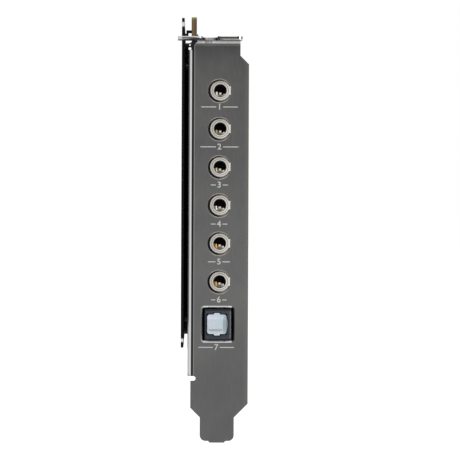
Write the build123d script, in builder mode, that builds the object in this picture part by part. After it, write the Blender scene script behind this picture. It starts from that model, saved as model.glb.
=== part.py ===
"""Sound card for a conventional 32-bit PCI slot, with a full-height slot bracket.

Millimetres. +X runs from the solder side to the component side, +Y along the card
away from the bracket, +Z up. The origin is the centre of the tab's screw notch, on
the tab's underside.
"""
import os

from build123d import *

os.makedirs("parts", exist_ok=True)

# Sheet and fits
sheet = 0.86
edge_break = 0.12
punched_edge = 0.22
assembly_gap = 0.05
solder_face_gap = 0.02
pick = 0.01

# Slot bracket: plate, seen from outside the computer
bracket_width = 17.95
bracket_length = 120.02
notch_to_plate = 5.08
notch_to_flange = 6.35
neck_width = 13.8
neck_right_inset = 2.55
neck_drop = 4.3
tongue_width = 10.1
tongue_left_inset = 3.75
tongue_root_drop = 111.7
lower_left_inset = 0.9
tip_step = 0.5
tip_flat = 5.2
tip_radius = 1.7
neck_corner = 1.0

# Slot bracket: tab and its screw notch
tab_width = 19.05
tab_depth = 11.43
tab_corner = 1.3
notch_radius = 2.21
notch_mouth_radius = 1.3
tab_fold_radius = 0.5
tab_relief = 0.9

# Slot bracket: side flange and the two lugs that carry the board
flange_top = -2.66
flange_bottom = -99.45
flange_depth = 4.2
flange_fold_radius = 0.4
flange_corner = 1.0
relief_width = 1.4
relief_depth = 2.45
lug_width = 6.4
lug_reach = 7.6
lug_root_radius = 0.6
lug_zs = (-6.8, -92.6)
bracket_screw_radius = 1.5

# Circuit board
board_thickness = 1.57
board_length = 167.64
board_top = 7.19
board_height = 106.68
board_foot_margin = 3.4
board_corner = 1.2
board_to_plate = 0.5
board_screw_hole_radius = 1.65

# Edge connector of 62 contact places, two of them cut away for each key
edge_start = 33.0
edge_width = 84.84
edge_tongue = 8.25
edge_bevel = 0.45
edge_corner = 0.9
contact_pitch = 1.27
contact_places = 62
contact_width = 1.02
contact_length = 6.4
contact_thickness = 0.05
contact_foot = 1.0
key_places = (12, 50)
key_width = 1.93
key_depth = 7.9

# Shield backplate on the solder side
backplate_thickness = 0.8
backplate_gap = 2.06
backplate_top = 6.96
backplate_bottom = -91.1
backplate_front_inset = 0.5
backplate_rear_inset = 0.8
backplate_corner = 0.5
backplate_lip_run = 2.0
backplate_fold_radius = 0.3
leg_width = 1.6
leg_step_share = 0.4
leg_low = 1.45
leg_high = 3.25
leg_thickness = 0.8

# Standoffs pressed into the backplate, and the screws that hold the board to them
standoff_radius = 2.0
standoff_head_flats = 4.4
standoff_front_y = 26.0
standoff_rear_inset = 12.5
standoff_zs = (-1.5, -85.6)
backplate_screw_radius = 1.25
thread_clearance = 0.03
standoff_hole_margin = 0.15

# Screw heads
bracket_head_radius = 2.75
bracket_head_height = 1.9
backplate_head_radius = 2.3
backplate_head_height = 1.5
recess_width = 0.8
recess_share = 0.62
head_chamfer_share = 0.35
bracket_screw_length = 2.4
backplate_screw_length = 3.2

# Jacks
jack_count = 6
jack_pitch = 11.34
jack_top_z = -14.67
jack_axis_height = 7.04
jack_bore_radius = 1.775
collar_radius = 2.94
collar_proud = 0.3
collar_chamfer = 0.22
collar_groove_radius = 2.4
collar_groove_width = 0.14
collar_groove_depth = 0.12
collar_key_reach = 0.16
collar_key_half = 1.25
collar_key_depth = 0.25
plate_hole_radius = 3.35
plate_hole_shift = -0.2
plate_hole_drop = 0.13
housing_width = 9.0
housing_height = 11.3
housing_depth = 14.0
housing_chamfer = 1.3
housing_wall = 0.9
housing_front_wall = 3.4
housing_shoulder = 0.5
housing_gap = 0.5
spring_thickness = 0.3
spring_width = 0.9
leaf_width = 1.3
spring_setback = 0.6
spring_pin_insets = (4.6, 3.2, 1.6)
spring_drops = (0.85, 2.6, 1.45)
side_leaf_offsets = (-1.12, 1.05)
bow_crest_drop = 0.3
bow_crest_run = 1.1
bow_nose_radius = 0.4
bow_foot_drop = 1.7
bow_foot_run = 0.25
pin_slot_margin = 0.2

# Optical output
optical_z = -84.02
optical_height = 11.4
optical_width = 10.6
optical_depth = 13.4
optical_pin_inset = 1.4
optical_pin_pitch = 2.54
optical_nose_side = 0.86
optical_nose_height = 7.9
optical_nose_width = 9.1
optical_nose_chamfer = 0.3
optical_nose_inset = 0.25
cutout_width = 9.2
cutout_height = 9.76
cutout_corner = 0.6
cutout_edge = 0.36
cutout_shift = -0.06
port_shift = -0.3
plug_side = 5.75
plug_corner = 0.75
plug_bulge = 0.28
plug_key_width = 1.8
plug_key_height = 0.45
plug_key_corner = 0.3
port_clearance = 0.22
port_corner = 0.3
port_depth = 9.0
emitter_length = 2.0
emitter_lens_radius = 1.4
emitter_side = 5.0
plug_proud = 0.9
plug_grip_width = 4.45
plug_grip_height = 3.0
plug_grip_shift = -0.33
plug_grip_proud = 0.9
plug_stem_gap = 1.2

# Electrolytic capacitors: aluminium can on a square base
coupling_ys = (30.5, 39.5)
coupling_radius = 3.15
coupling_height = 5.8
coupling_base_side = 6.6
filter_front_inset = 56.0
filter_front_zs = (-16.0, -30.0, -44.0)
filter_rear_inset = 26.0
filter_rear_zs = (-64.0, -78.0)
filter_radius = 5.0
filter_height = 10.2
filter_base_side = 10.4
can_base_height = 0.9
can_chamfer = 0.5
can_base_cut = 1.3

# Leaded packages: body along the card, body up it, body height, leads on each side, pitch
small_outline = (3.9, 4.9, 1.45, (4, 0), 1.27)
converter_outline = (4.4, 9.7, 1.0, (14, 0), 0.65)
input_converter_outline = (4.4, 6.5, 1.0, (10, 0), 0.65)
processor_outline = (14.0, 14.0, 1.4, (16, 16), 0.8)
relay_outline = (6.5, 10.0, 5.2, (4, 0), 2.2)
lead_reach = 1.05
lead_thickness = 0.16
lead_share = 0.42
package_gap = 0.1
package_taper = 6
amplifier_y = 49.5
headphone_amplifier_place = (62.0, -12.0)
memory_place = (112.0, -80.0)
converter_place = (66.0, -42.0)
input_converter_place = (66.0, -25.0)
processor_place = (90.0, -60.0)
relay_places = ((38.0, -84.0), (50.0, -84.0))

# Film capacitors, inductors, regulators and crystals
film_places = ((63.0, -56.0), (63.0, -62.0), (63.0, -68.0), (63.0, -74.0))
film_size = (7.2, 3.0, 6.4)
film_chamfer = 0.3
inductor_inset = 40.0
inductor_zs = (-18.0, -33.0)
inductor_side = 7.3
inductor_height = 4.2
inductor_corner = 1.6
regulator_inset = 26.0
regulator_zs = (-16.0, -30.0, -44.0)
regulator_body = (6.1, 6.6, 2.3)
regulator_tab = (1.0, 5.2, 0.5)
regulator_lead = (2.7, 0.8, 0.5)
regulator_lead_pitch = 4.56
crystal_places = ((106.0, -60.0), (79.0, -20.0))
crystal_length = 10.2
crystal_width = 3.8
crystal_height = 3.6
crystal_rim = 0.4

# Pin headers along the top edge
header_pitch = 2.54
header_z = 2.6
header_base_height = 2.54
header_corner = 0.4
header_pin_side = 0.64
header_pin_reach = 8.6
front_header_y = 96.0
front_header_columns = 5
front_header_key = (4, 0)
digital_header_inset = 42.0
digital_header_columns = 4

# Chip resistors and chip capacitors, lying along the card
chip_length = 1.6
chip_width = 0.8
chip_height = 0.45
chip_pitch = 2.0
resistor_ys = (24.2, 45.0, 54.2)
resistors_per_jack = 3
capacitor_blocks = ((76.0, -36.0, 6), (104.0, -36.0, 6), (79.0, -53.0, 8), (92.0, -38.0, 5), (88.0, -74.0, 5))
rear_capacitor_blocks = ((47.6, -60.0, 7), (15.6, -14.0, 8), (34.0, -14.0, 6))
resistor_blocks = ((101.5, -54.0, 7), (84.0, -38.0, 5), (96.0, -74.0, 5), (72.4, -37.5, 5), (72.4, -22.0, 4),
                   (106.5, -77.0, 4), (117.5, -77.0, 4))
top_chip_place = (14.0, 2.04)

# Solder joints
joint_height = 0.8
joint_margin = 0.5
joint_slope = 0.42
joint_slope_share = 0.85

# Planes and edges that follow from the sizes above
lug_hole_radius = bracket_screw_radius + thread_clearance
standoff_hole_radius = backplate_screw_radius + standoff_hole_margin
flange_x = -notch_to_flange
board_back_x = flange_x + sheet
board_face_x = board_back_x + board_thickness
edge_bottom = board_top - board_height
board_bottom = edge_bottom + edge_tongue
plate_y = notch_to_plate
plate_back_y = plate_y + sheet
plate_right = flange_x + bracket_width
flange_root_y = plate_back_y + flange_fold_radius
flange_rear = plate_y + flange_depth
neck_right = plate_right - neck_right_inset
neck_left = neck_right - neck_width
tongue_left = flange_x + tongue_left_inset
tongue_right = tongue_left + tongue_width
lower_left = flange_x + lower_left_inset
tip_z = sheet - bracket_length
board_front = plate_back_y + board_to_plate
board_rear = board_front + board_length
standoff_ys = (standoff_front_y, board_rear - standoff_rear_inset)
filter_places = [(board_rear - filter_front_inset, z) for z in filter_front_zs]
filter_places += [(board_rear - filter_rear_inset, z) for z in filter_rear_zs]
inductor_places = [(board_rear - inductor_inset, z) for z in inductor_zs]
regulator_places = [(board_rear - regulator_inset, z) for z in regulator_zs]
digital_header_y = board_rear - digital_header_inset
backplate_in_x = board_back_x - backplate_gap
backplate_out_x = backplate_in_x - backplate_thickness
lug_y = plate_y + flange_depth + lug_reach - lug_width / 2
foot_bottom = lug_zs[-1] - board_foot_margin
foot_rear = lug_y + lug_width / 2 + board_foot_margin
jack_axis_x = board_face_x + jack_axis_height
jack_zs = [jack_top_z - jack_pitch * n for n in range(jack_count)]
housing_front = plate_back_y + housing_gap
housing_rear = housing_front + housing_depth
collar_front = plate_y - collar_proud
optical_right = board_face_x + optical_height
optical_nose_x = optical_right - optical_nose_side - optical_nose_height / 2
optical_axis_x = optical_nose_x + port_shift
optical_front = plate_y + optical_nose_inset


def board_plane(y, z, height=0.0):
    """Plane on the component face, local x along the card and local y up it."""
    return Plane(origin=(board_face_x + height, y, z), x_dir=(0, 1, 0), z_dir=(1, 0, 0))


def save(builder, label):
    """Label a finished piece and write it to its own file."""
    builder.part.label = label
    export_step(builder.part, f"parts/{label}.step")


# Slot bracket, one folded sheet
right_taper = plate_right - tongue_right
left_taper = tongue_left - lower_left
tip_left = tongue_left + (tongue_width - tip_flat) / 2
tip_right = tip_left + tip_flat
with BuildPart() as bracket:
    with BuildSketch(Plane.XZ.offset(-plate_back_y)) as plate_sketch:
        with BuildLine():
            Polyline(
                (neck_left, -tab_fold_radius),
                (neck_right, -tab_fold_radius),
                (neck_right, -neck_drop),
                (plate_right, -neck_drop - neck_right_inset),
                (plate_right, -tongue_root_drop + right_taper),
                (tongue_right, -tongue_root_drop),
                (tongue_right, tip_z + tip_step),
                (tip_right, tip_z + tip_step),
                (tip_right - tip_step, tip_z),
                (tip_left + tip_step, tip_z),
                (tip_left, tip_z + tip_step),
                (tongue_left, tip_z + tip_step),
                (tongue_left, -tongue_root_drop),
                (lower_left, -tongue_root_drop + left_taper),
                (lower_left, flange_bottom),
                (neck_left, flange_bottom),
                close=True,
            )
        make_face()
        step_z = tip_z + tip_step
        tongue_corners = plate_sketch.vertices().filter_by_position(Axis.Y, step_z - pick, step_z + pick)
        fillet([tongue_corners.sort_by(Axis.X)[0], tongue_corners.sort_by(Axis.X)[-1]], tip_radius)
        fillet(plate_sketch.vertices().group_by(Axis.Y)[-1].sort_by(Axis.X)[0], neck_corner)
        with Locations((flange_x + (relief_depth - relief_width / 2) / 2, flange_bottom - relief_width / 2)):
            Rectangle(relief_depth - relief_width / 2, relief_width, mode=Mode.SUBTRACT)
        with Locations((flange_x + relief_depth - relief_width / 2, flange_bottom - relief_width / 2)):
            Circle(relief_width / 2, mode=Mode.SUBTRACT)
    extrude(amount=sheet)
    with BuildSketch(Plane.YZ.offset(neck_left + neck_corner)):
        with BuildLine():
            Polyline(
                (plate_back_y, -neck_drop),
                (plate_back_y, sheet),
                (plate_y - tab_relief, sheet),
                (plate_y - tab_relief, 0),
                (plate_y, 0),
                (plate_y, -neck_drop),
                close=True,
            )
        fold = make_face()
        fillet(fold.vertices().sort_by(Axis.Y)[-2:].sort_by(Axis.X)[-1], tab_fold_radius + sheet)
        inner_fold = fold.vertices().filter_by_position(Axis.X, plate_y - pick, plate_y + pick)
        fillet(inner_fold.sort_by(Axis.Y)[-1], tab_fold_radius)
    extrude(amount=neck_width - neck_corner)
    with BuildSketch(Plane.XY) as tab_sketch:
        with Locations((0, plate_y - tab_relief)):
            Rectangle(tab_width, tab_depth - sheet - tab_relief, align=(Align.CENTER, Align.MAX))
        fillet(tab_sketch.vertices(), tab_corner)
        with Locations((0, -tab_depth)):
            Rectangle(2 * notch_radius, tab_depth, align=(Align.CENTER, Align.MIN), mode=Mode.SUBTRACT)
        Circle(notch_radius, mode=Mode.SUBTRACT)
        tab_front = plate_back_y - tab_depth
        mouth = tab_sketch.vertices().filter_by_position(Axis.Y, tab_front - pick, tab_front + pick)
        fillet(mouth.sort_by(lambda v: abs(v.X))[:2], notch_mouth_radius)
    extrude(amount=sheet)
    with BuildSketch(Plane.XY.offset(flange_bottom)):
        with BuildLine():
            Polyline(
                (flange_x, flange_root_y),
                (flange_x, plate_y),
                (neck_left + sheet, plate_y),
                (neck_left + sheet, plate_back_y),
                (board_back_x, plate_back_y),
                (board_back_x, flange_root_y),
                close=True,
            )
        section = make_face()
        fillet(section.vertices().sort_by(lambda v: v.X + v.Y)[0], flange_fold_radius + sheet)
        inside = section.vertices().filter_by_position(Axis.Y, plate_back_y - pick, plate_back_y + pick)
        fillet(inside.sort_by(Axis.X)[0], flange_fold_radius)
    extrude(amount=flange_top - flange_bottom)
    with BuildSketch(Plane.YZ.offset(flange_x)) as lug_sketch:
        with Locations((flange_root_y, flange_bottom)):
            Rectangle(flange_rear - flange_root_y, flange_top - flange_bottom, align=(Align.MIN, Align.MIN))
        with Locations(*[(lug_y, lug_z) for lug_z in lug_zs]):
            Circle(lug_width / 2)
            Rectangle(lug_y - flange_root_y, lug_width, align=(Align.MAX, Align.CENTER))
        at_rear = lug_sketch.vertices().filter_by_position(Axis.X, flange_rear - pick, flange_rear + pick)
        rear_corners = at_rear.sort_by(Axis.Y)
        fillet(rear_corners[1:-1], lug_root_radius)
        flange_ends = lug_sketch.vertices().filter_by_position(Axis.X, flange_rear - pick, flange_rear + pick)
        fillet([flange_ends.sort_by(Axis.Y)[0]], flange_corner)
        with Locations(*[(lug_y, lug_z) for lug_z in lug_zs]):
            Circle(lug_hole_radius, mode=Mode.SUBTRACT)
    extrude(amount=sheet)
    with BuildSketch(Plane.XZ.offset(-plate_back_y)):
        with Locations(*[(jack_axis_x + plate_hole_shift, z - plate_hole_drop) for z in jack_zs]):
            Circle(plate_hole_radius)
        with Locations((optical_nose_x + cutout_shift, optical_z)):
            RectangleRounded(cutout_width, cutout_height, cutout_corner)
    extrude(amount=sheet, mode=Mode.SUBTRACT)
    front_faces = bracket.faces().filter_by_position(Axis.Y, plate_y - pick, plate_y + pick)
    hole_wires = front_faces.sort_by(SortBy.AREA)[-1].inner_wires().sort_by(Axis.Z)
    chamfer(hole_wires[0].edges(), cutout_edge)
    chamfer(hole_wires[1:].edges(), punched_edge)
save(bracket, "bracket")

# Through-hole pins of the jacks: place along the card and height up it, from each axis
jack_pin_ys = [housing_rear - inset for inset in spring_pin_insets]
optical_pin_y = optical_front + optical_depth - optical_pin_inset
optical_pin_zs = [optical_z - optical_pin_pitch, optical_z, optical_z + optical_pin_pitch]


def header_pin_places(header_y, columns, rows, key=None):
    """Places of a header's pins on the board, with the key place left out."""
    places = []
    for column in range(columns):
        for row in range(rows):
            if (column, row) != key:
                y = header_y + (column - (columns - 1) / 2) * header_pitch
                z = header_z + (row - (rows - 1) / 2) * header_pitch
                places.append((y, z))
    return places


front_header_pins = header_pin_places(front_header_y, front_header_columns, 2, key=front_header_key)
digital_header_pins = header_pin_places(digital_header_y, digital_header_columns, 1)
jack_slots = [(y, z - drop) for z in jack_zs for y, drop in zip(jack_pin_ys, spring_drops)]
optical_slots = [(optical_pin_y, z) for z in optical_pin_zs]
square_holes = front_header_pins + digital_header_pins

# Circuit board with its edge connector
edge_front = plate_y + edge_start
edge_rear = edge_front + edge_width
first_contact = edge_front + (edge_width - (contact_places - 1) * contact_pitch) / 2
key_centres = [first_contact + (place - 0.5) * contact_pitch for place in key_places]
slot_long = spring_width + 2 * pin_slot_margin
slot_short = spring_thickness + 2 * pin_slot_margin
square_hole = header_pin_side + 2 * pin_slot_margin
with BuildPart() as circuit_board:
    with BuildSketch(Plane.YZ.offset(board_back_x)) as board_sketch:
        with BuildLine():
            Polyline(
                (board_front, board_top),
                (board_front, foot_bottom),
                (foot_rear, foot_bottom),
                (foot_rear, board_bottom),
                (edge_front, board_bottom),
                (edge_front, edge_bottom),
                (edge_rear, edge_bottom),
                (edge_rear, board_bottom),
                (board_rear, board_bottom),
                (board_rear, board_top),
                close=True,
            )
        make_face()
        chamfer(board_sketch.vertices().group_by(Axis.Y)[0], edge_corner)
        above_connector = edge_bottom + edge_corner + pick
        fillet([v for v in board_sketch.vertices() if v.Y > above_connector], board_corner)
        with Locations(*[(y, edge_bottom) for y in key_centres]):
            Rectangle(key_width, key_depth, align=(Align.CENTER, Align.MIN), mode=Mode.SUBTRACT)
        with Locations(*[(lug_y, z) for z in lug_zs]):
            Circle(board_screw_hole_radius, mode=Mode.SUBTRACT)
        with Locations(*[(y, z) for y in standoff_ys for z in standoff_zs]):
            Circle(standoff_hole_radius, mode=Mode.SUBTRACT)
        with Locations(*(jack_slots + optical_slots)):
            Rectangle(slot_short, slot_long, mode=Mode.SUBTRACT)
        with Locations(*square_holes):
            Rectangle(square_hole, square_hole, mode=Mode.SUBTRACT)
    extrude(amount=board_thickness)
    bevel_edges = circuit_board.edges().filter_by(Axis.Y).filter_by_position(
        Axis.Z, edge_bottom - pick, edge_bottom + pick
    )
    chamfer(bevel_edges, edge_bevel)
save(circuit_board, "circuit_board")

# Gilt contacts on both faces of the edge connector
contact_ys = []
for place in range(contact_places):
    if place not in key_places and place - 1 not in key_places:
        contact_ys.append(first_contact + place * contact_pitch)
contact_z = edge_bottom + contact_foot + contact_length / 2
with BuildPart() as edge_contacts:
    with BuildSketch(Plane.YZ.offset(board_face_x)):
        with Locations(*[(y, contact_z) for y in contact_ys]):
            Rectangle(contact_width, contact_length)
    extrude(amount=contact_thickness)
    with BuildSketch(Plane.YZ.offset(board_back_x)):
        with Locations(*[(y, contact_z) for y in contact_ys]):
            Rectangle(contact_width, contact_length)
    extrude(amount=-contact_thickness)
save(edge_contacts, "edge_contacts")

# Shield backplate with its rear lip and the small leg at the front
backplate_front = board_front + backplate_front_inset
backplate_rear = board_rear - backplate_rear_inset
standoff_places = [(y, z) for y in standoff_ys for z in standoff_zs]
standoff_head_radius = standoff_head_flats / 3**0.5
lip_reach = board_back_x - assembly_gap
with BuildPart() as shield_backplate:
    with BuildSketch(Plane.YZ.offset(backplate_out_x)) as backplate_sketch:
        with Locations((backplate_front, backplate_bottom)):
            Rectangle(
                backplate_rear - backplate_thickness - backplate_fold_radius - backplate_front,
                backplate_top - backplate_bottom,
                align=(Align.MIN, Align.MIN),
            )
        chamfer(backplate_sketch.vertices().sort_by(Axis.X)[:2], backplate_corner)
        with Locations(*standoff_places):
            RegularPolygon(standoff_head_radius + assembly_gap, 6, mode=Mode.SUBTRACT)
    extrude(amount=backplate_thickness)
    with BuildSketch(Plane.XY.offset(backplate_bottom)):
        with BuildLine():
            Polyline(
                (backplate_out_x, backplate_rear - backplate_lip_run),
                (backplate_out_x, backplate_rear),
                (lip_reach, backplate_rear),
                (lip_reach, backplate_rear - backplate_thickness),
                (backplate_in_x, backplate_rear - backplate_thickness),
                (backplate_in_x, backplate_rear - backplate_lip_run),
                close=True,
            )
        lip = make_face()
        fillet(lip.vertices().sort_by(lambda v: v.X - v.Y)[0], backplate_fold_radius + backplate_thickness)
        inner_lip = lip.vertices().filter_by_position(Axis.X, backplate_in_x - pick, backplate_in_x + pick)
        fillet(inner_lip.sort_by(Axis.Y)[-1], backplate_fold_radius)
    extrude(amount=backplate_top - backplate_bottom)
    with BuildSketch(Plane.XZ.offset(-backplate_front)):
        leg_step = backplate_in_x + backplate_gap * leg_step_share
        half_step = leg_thickness * leg_step_share
        with BuildLine():
            Polyline(
                (backplate_in_x, leg_low),
                (leg_step + half_step, leg_low),
                (leg_step + half_step, leg_high - leg_thickness),
                (board_back_x, leg_high - leg_thickness),
                (board_back_x, leg_high),
                (leg_step - half_step, leg_high),
                (leg_step - half_step, leg_low + leg_thickness),
                (backplate_in_x, leg_low + leg_thickness),
                close=True,
            )
        make_face()
    extrude(amount=-leg_width)
save(shield_backplate, "shield_backplate")

# Standoffs: a hexagonal head flush in the sheet, a round barrel up to the board
with BuildPart() as backplate_standoffs:
    with BuildSketch(Plane.YZ.offset(backplate_out_x)):
        with Locations(*standoff_places):
            RegularPolygon(standoff_head_radius, 6)
    extrude(amount=backplate_thickness)
    with BuildSketch(Plane.YZ.offset(backplate_in_x)):
        with Locations(*standoff_places):
            Circle(standoff_radius)
    extrude(amount=backplate_gap)
    with BuildSketch(Plane.YZ.offset(backplate_out_x)):
        with Locations(*standoff_places):
            Circle(backplate_screw_radius + thread_clearance)
    extrude(amount=backplate_thickness + backplate_gap, mode=Mode.SUBTRACT)
save(backplate_standoffs, "backplate_standoffs")


def make_screws(places, head_radius, head_height, shank_radius, shank_length):
    """Pan-head screws with a cross recess, driven in from the component side."""
    with BuildPart() as screws:
        with BuildSketch(Plane.YZ.offset(board_face_x)):
            with Locations(*places):
                Circle(head_radius)
        extrude(amount=head_height)
        rims = screws.edges().filter_by(GeomType.CIRCLE).group_by(Axis.X)[-1]
        chamfer(rims, head_height * head_chamfer_share)
        with BuildSketch(Plane.YZ.offset(board_face_x + head_height)):
            with Locations(*places):
                Rectangle(2 * head_radius * recess_share, recess_width)
                Rectangle(recess_width, 2 * head_radius * recess_share)
        extrude(amount=-head_height * recess_share, mode=Mode.SUBTRACT)
        with BuildSketch(Plane.YZ.offset(board_face_x)):
            with Locations(*places):
                Circle(shank_radius)
        extrude(amount=-shank_length)
    return screws


bracket_screws = make_screws(
    [(lug_y, z) for z in lug_zs],
    bracket_head_radius,
    bracket_head_height,
    bracket_screw_radius,
    bracket_screw_length,
)
save(bracket_screws, "bracket_screws")

backplate_screws = make_screws(
    standoff_places,
    backplate_head_radius,
    backplate_head_height,
    backplate_screw_radius,
    backplate_screw_length,
)
save(backplate_screws, "backplate_screws")


# Jacks: moulded housing open towards the board, nickel collar, three gilt springs
cavity_top = jack_axis_x + housing_height - jack_axis_height - housing_wall
cavity_front = housing_front + housing_front_wall
cavity_half = housing_width / 2 - housing_wall


def make_jack_housing(axis_z):
    """Moulded housing round one jack's axis."""
    with BuildPart() as housing:
        with BuildSketch(Plane.XZ.offset(-housing_rear)) as front_view:
            with Locations((board_face_x, axis_z)):
                Rectangle(housing_height, housing_width, align=(Align.MIN, Align.CENTER))
            chamfer(front_view.vertices().sort_by(Axis.X)[-2:], housing_chamfer)
        extrude(amount=housing_depth)
        with BuildSketch(Plane.XZ.offset(-housing_rear + housing_wall)):
            with Locations((board_face_x, axis_z)):
                Rectangle(cavity_top - board_face_x, 2 * cavity_half, align=(Align.MIN, Align.CENTER))
        extrude(amount=housing_depth - housing_wall - housing_front_wall, mode=Mode.SUBTRACT)
        with BuildSketch(Plane.XZ.offset(-housing_front)):
            with Locations((jack_axis_x, axis_z)):
                Circle(collar_radius + assembly_gap)
        extrude(amount=-(housing_front_wall - housing_shoulder), mode=Mode.SUBTRACT)
        with BuildSketch(Plane.XZ.offset(-cavity_front)):
            with Locations((jack_axis_x, axis_z)):
                Circle(jack_bore_radius + assembly_gap)
        extrude(amount=housing_shoulder, mode=Mode.SUBTRACT)
    return housing


def make_jack_collar(axis_z):
    """Turned collar with a fine groove in its face."""
    groove_in = collar_groove_radius - collar_groove_width / 2
    groove_out = collar_groove_radius + collar_groove_width / 2
    collar_rear = housing_front + housing_front_wall - housing_shoulder
    with BuildPart() as collar:
        with BuildSketch(Plane(origin=(jack_axis_x, 0, axis_z), x_dir=(1, 0, 0), z_dir=(0, 0, 1))):
            with BuildLine():
                Polyline(
                    (jack_bore_radius, collar_rear),
                    (jack_bore_radius, collar_front + collar_chamfer),
                    (jack_bore_radius + collar_chamfer, collar_front),
                    (groove_in, collar_front),
                    (collar_groove_radius, collar_front + collar_groove_depth),
                    (groove_out, collar_front),
                    (collar_radius - collar_chamfer, collar_front),
                    (collar_radius, collar_front + collar_chamfer),
                    (collar_radius, collar_rear),
                    close=True,
                )
            make_face()
        revolve(axis=Axis((jack_axis_x, 0, axis_z), (0, 1, 0)), revolution_arc=360)
        with BuildSketch(Plane.XZ.offset(-collar_front - collar_key_depth)):
            with Locations((jack_axis_x + groove_out, axis_z)):
                Rectangle(
                    collar_radius + collar_key_reach - groove_out,
                    2 * collar_key_half,
                    align=(Align.MIN, Align.CENTER),
                )
        extrude(amount=collar_key_depth - collar_groove_depth)
    return collar


def make_jack_contacts(axis_z):
    """Two leaves beside the plug's path and a bowed leaf below it, each with its pin."""
    half = spring_thickness / 2
    leaf_front = cavity_front + spring_setback
    bow_left = jack_axis_x - spring_width / 2
    bow_pin_z = axis_z - spring_drops[1]
    nose_y = leaf_front + bow_crest_run
    nose_z = axis_z - bow_crest_drop - bow_nose_radius
    foot_y = leaf_front + bow_foot_run
    foot_z = axis_z - bow_foot_drop
    with BuildPart() as contacts:
        for index, offset in zip((0, 2), side_leaf_offsets):
            leaf_x = jack_axis_x + offset
            pin_y = jack_pin_ys[index]
            with BuildSketch(Plane.XY.offset(axis_z - spring_drops[index] - leaf_width / 2)):
                with BuildLine():
                    Polyline(
                        (board_back_x, pin_y - half),
                        (leaf_x, pin_y - half),
                        (leaf_x, leaf_front),
                        (leaf_x + spring_thickness, leaf_front),
                        (leaf_x + spring_thickness, pin_y + half),
                        (board_back_x, pin_y + half),
                        close=True,
                    )
                make_face()
            extrude(amount=leaf_width)
        with BuildSketch(Plane.YZ.offset(bow_left)) as bow_sketch:
            with BuildLine():
                Polyline(
                    (jack_pin_ys[1] + half, bow_pin_z - spring_width / 2),
                    (jack_pin_ys[1] + half, bow_pin_z + spring_width / 2),
                    (nose_y, nose_z + bow_nose_radius),
                    (nose_y - bow_nose_radius, nose_z),
                    (foot_y - half, foot_z),
                    (foot_y + half, foot_z),
                    (nose_y, nose_z + bow_nose_radius - spring_thickness),
                    (jack_pin_ys[1] - half, bow_pin_z),
                    (jack_pin_ys[1] - half, bow_pin_z - spring_width / 2),
                    close=True,
                )
            make_face()
            nose = bow_sketch.vertices().sort_by(Axis.Y)[-1]
            fillet(nose, bow_nose_radius)
        extrude(amount=spring_width)
        with BuildSketch(Plane.YZ.offset(board_back_x)):
            with Locations((jack_pin_ys[1], bow_pin_z)):
                Rectangle(spring_thickness, spring_width)
        extrude(amount=bow_left - board_back_x)
    return contacts


for number, axis_z in enumerate(jack_zs, start=1):
    save(make_jack_housing(axis_z), f"jack_housing_{number}")
    save(make_jack_collar(axis_z), f"jack_collar_{number}")
    save(make_jack_contacts(axis_z), f"jack_contacts_{number}")


def keyed_square(clearance, corner):
    """Square with a key above and a key below, as the plug and its port share it."""
    side = plug_side + 2 * clearance
    with BuildSketch() as outline:
        RectangleRounded(side, side, corner)
        RectangleRounded(
            plug_key_width + 2 * clearance, side + 2 * plug_key_height, plug_key_corner
        )
    return outline.sketch


# Optical output: moulded receptacle with a stepped nose
port_y = optical_front + port_depth
optical_rear = optical_front + optical_depth
shoulder_y = plate_back_y + board_to_plate
with BuildPart() as optical_housing:
    with BuildSketch(Plane.XZ.offset(-optical_rear)):
        with Locations((board_face_x, optical_z)):
            Rectangle(optical_height, optical_width, align=(Align.MIN, Align.CENTER))
    extrude(amount=optical_rear - shoulder_y)
    with BuildSketch(Plane.XZ.offset(-shoulder_y)):
        with Locations((optical_nose_x, optical_z)):
            Rectangle(optical_nose_height, optical_nose_width)
    extrude(amount=shoulder_y - optical_front)
    chamfer(optical_housing.faces().sort_by(Axis.Y)[0].edges(), optical_nose_chamfer)
    with BuildSketch(Plane.XZ.offset(-optical_front)):
        with Locations((optical_axis_x, optical_z)):
            add(keyed_square(port_clearance, port_corner))
    extrude(amount=-port_depth, mode=Mode.SUBTRACT)
    with BuildSketch(Plane.XZ.offset(-port_y)):
        with Locations((optical_axis_x, optical_z)):
            Rectangle(emitter_side + 2 * port_clearance, emitter_side + 2 * port_clearance)
    extrude(amount=-(optical_depth - port_depth - housing_wall), mode=Mode.SUBTRACT)
save(optical_housing, "optical_housing")

# Emitter block with its lens, and three pins down into the board
emitter_rear = optical_rear - housing_wall
with BuildPart() as optical_emitter:
    with BuildSketch(Plane.XZ.offset(-emitter_rear)):
        with Locations((optical_axis_x, optical_z)):
            Rectangle(emitter_side, emitter_side)
    extrude(amount=emitter_rear - port_y - port_clearance)
    with BuildSketch(Plane.XZ.offset(-port_y - port_clearance)):
        with Locations((optical_axis_x, optical_z)):
            Circle(emitter_lens_radius)
    extrude(amount=emitter_length)
save(optical_emitter, "optical_emitter")

# Optical pins, from the underside of the housing through the board
with BuildPart() as optical_pins:
    with BuildSketch(Plane.YZ.offset(board_back_x)):
        with Locations(*optical_slots):
            Rectangle(spring_thickness, spring_width)
    extrude(amount=board_thickness)
save(optical_pins, "optical_pins")

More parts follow.
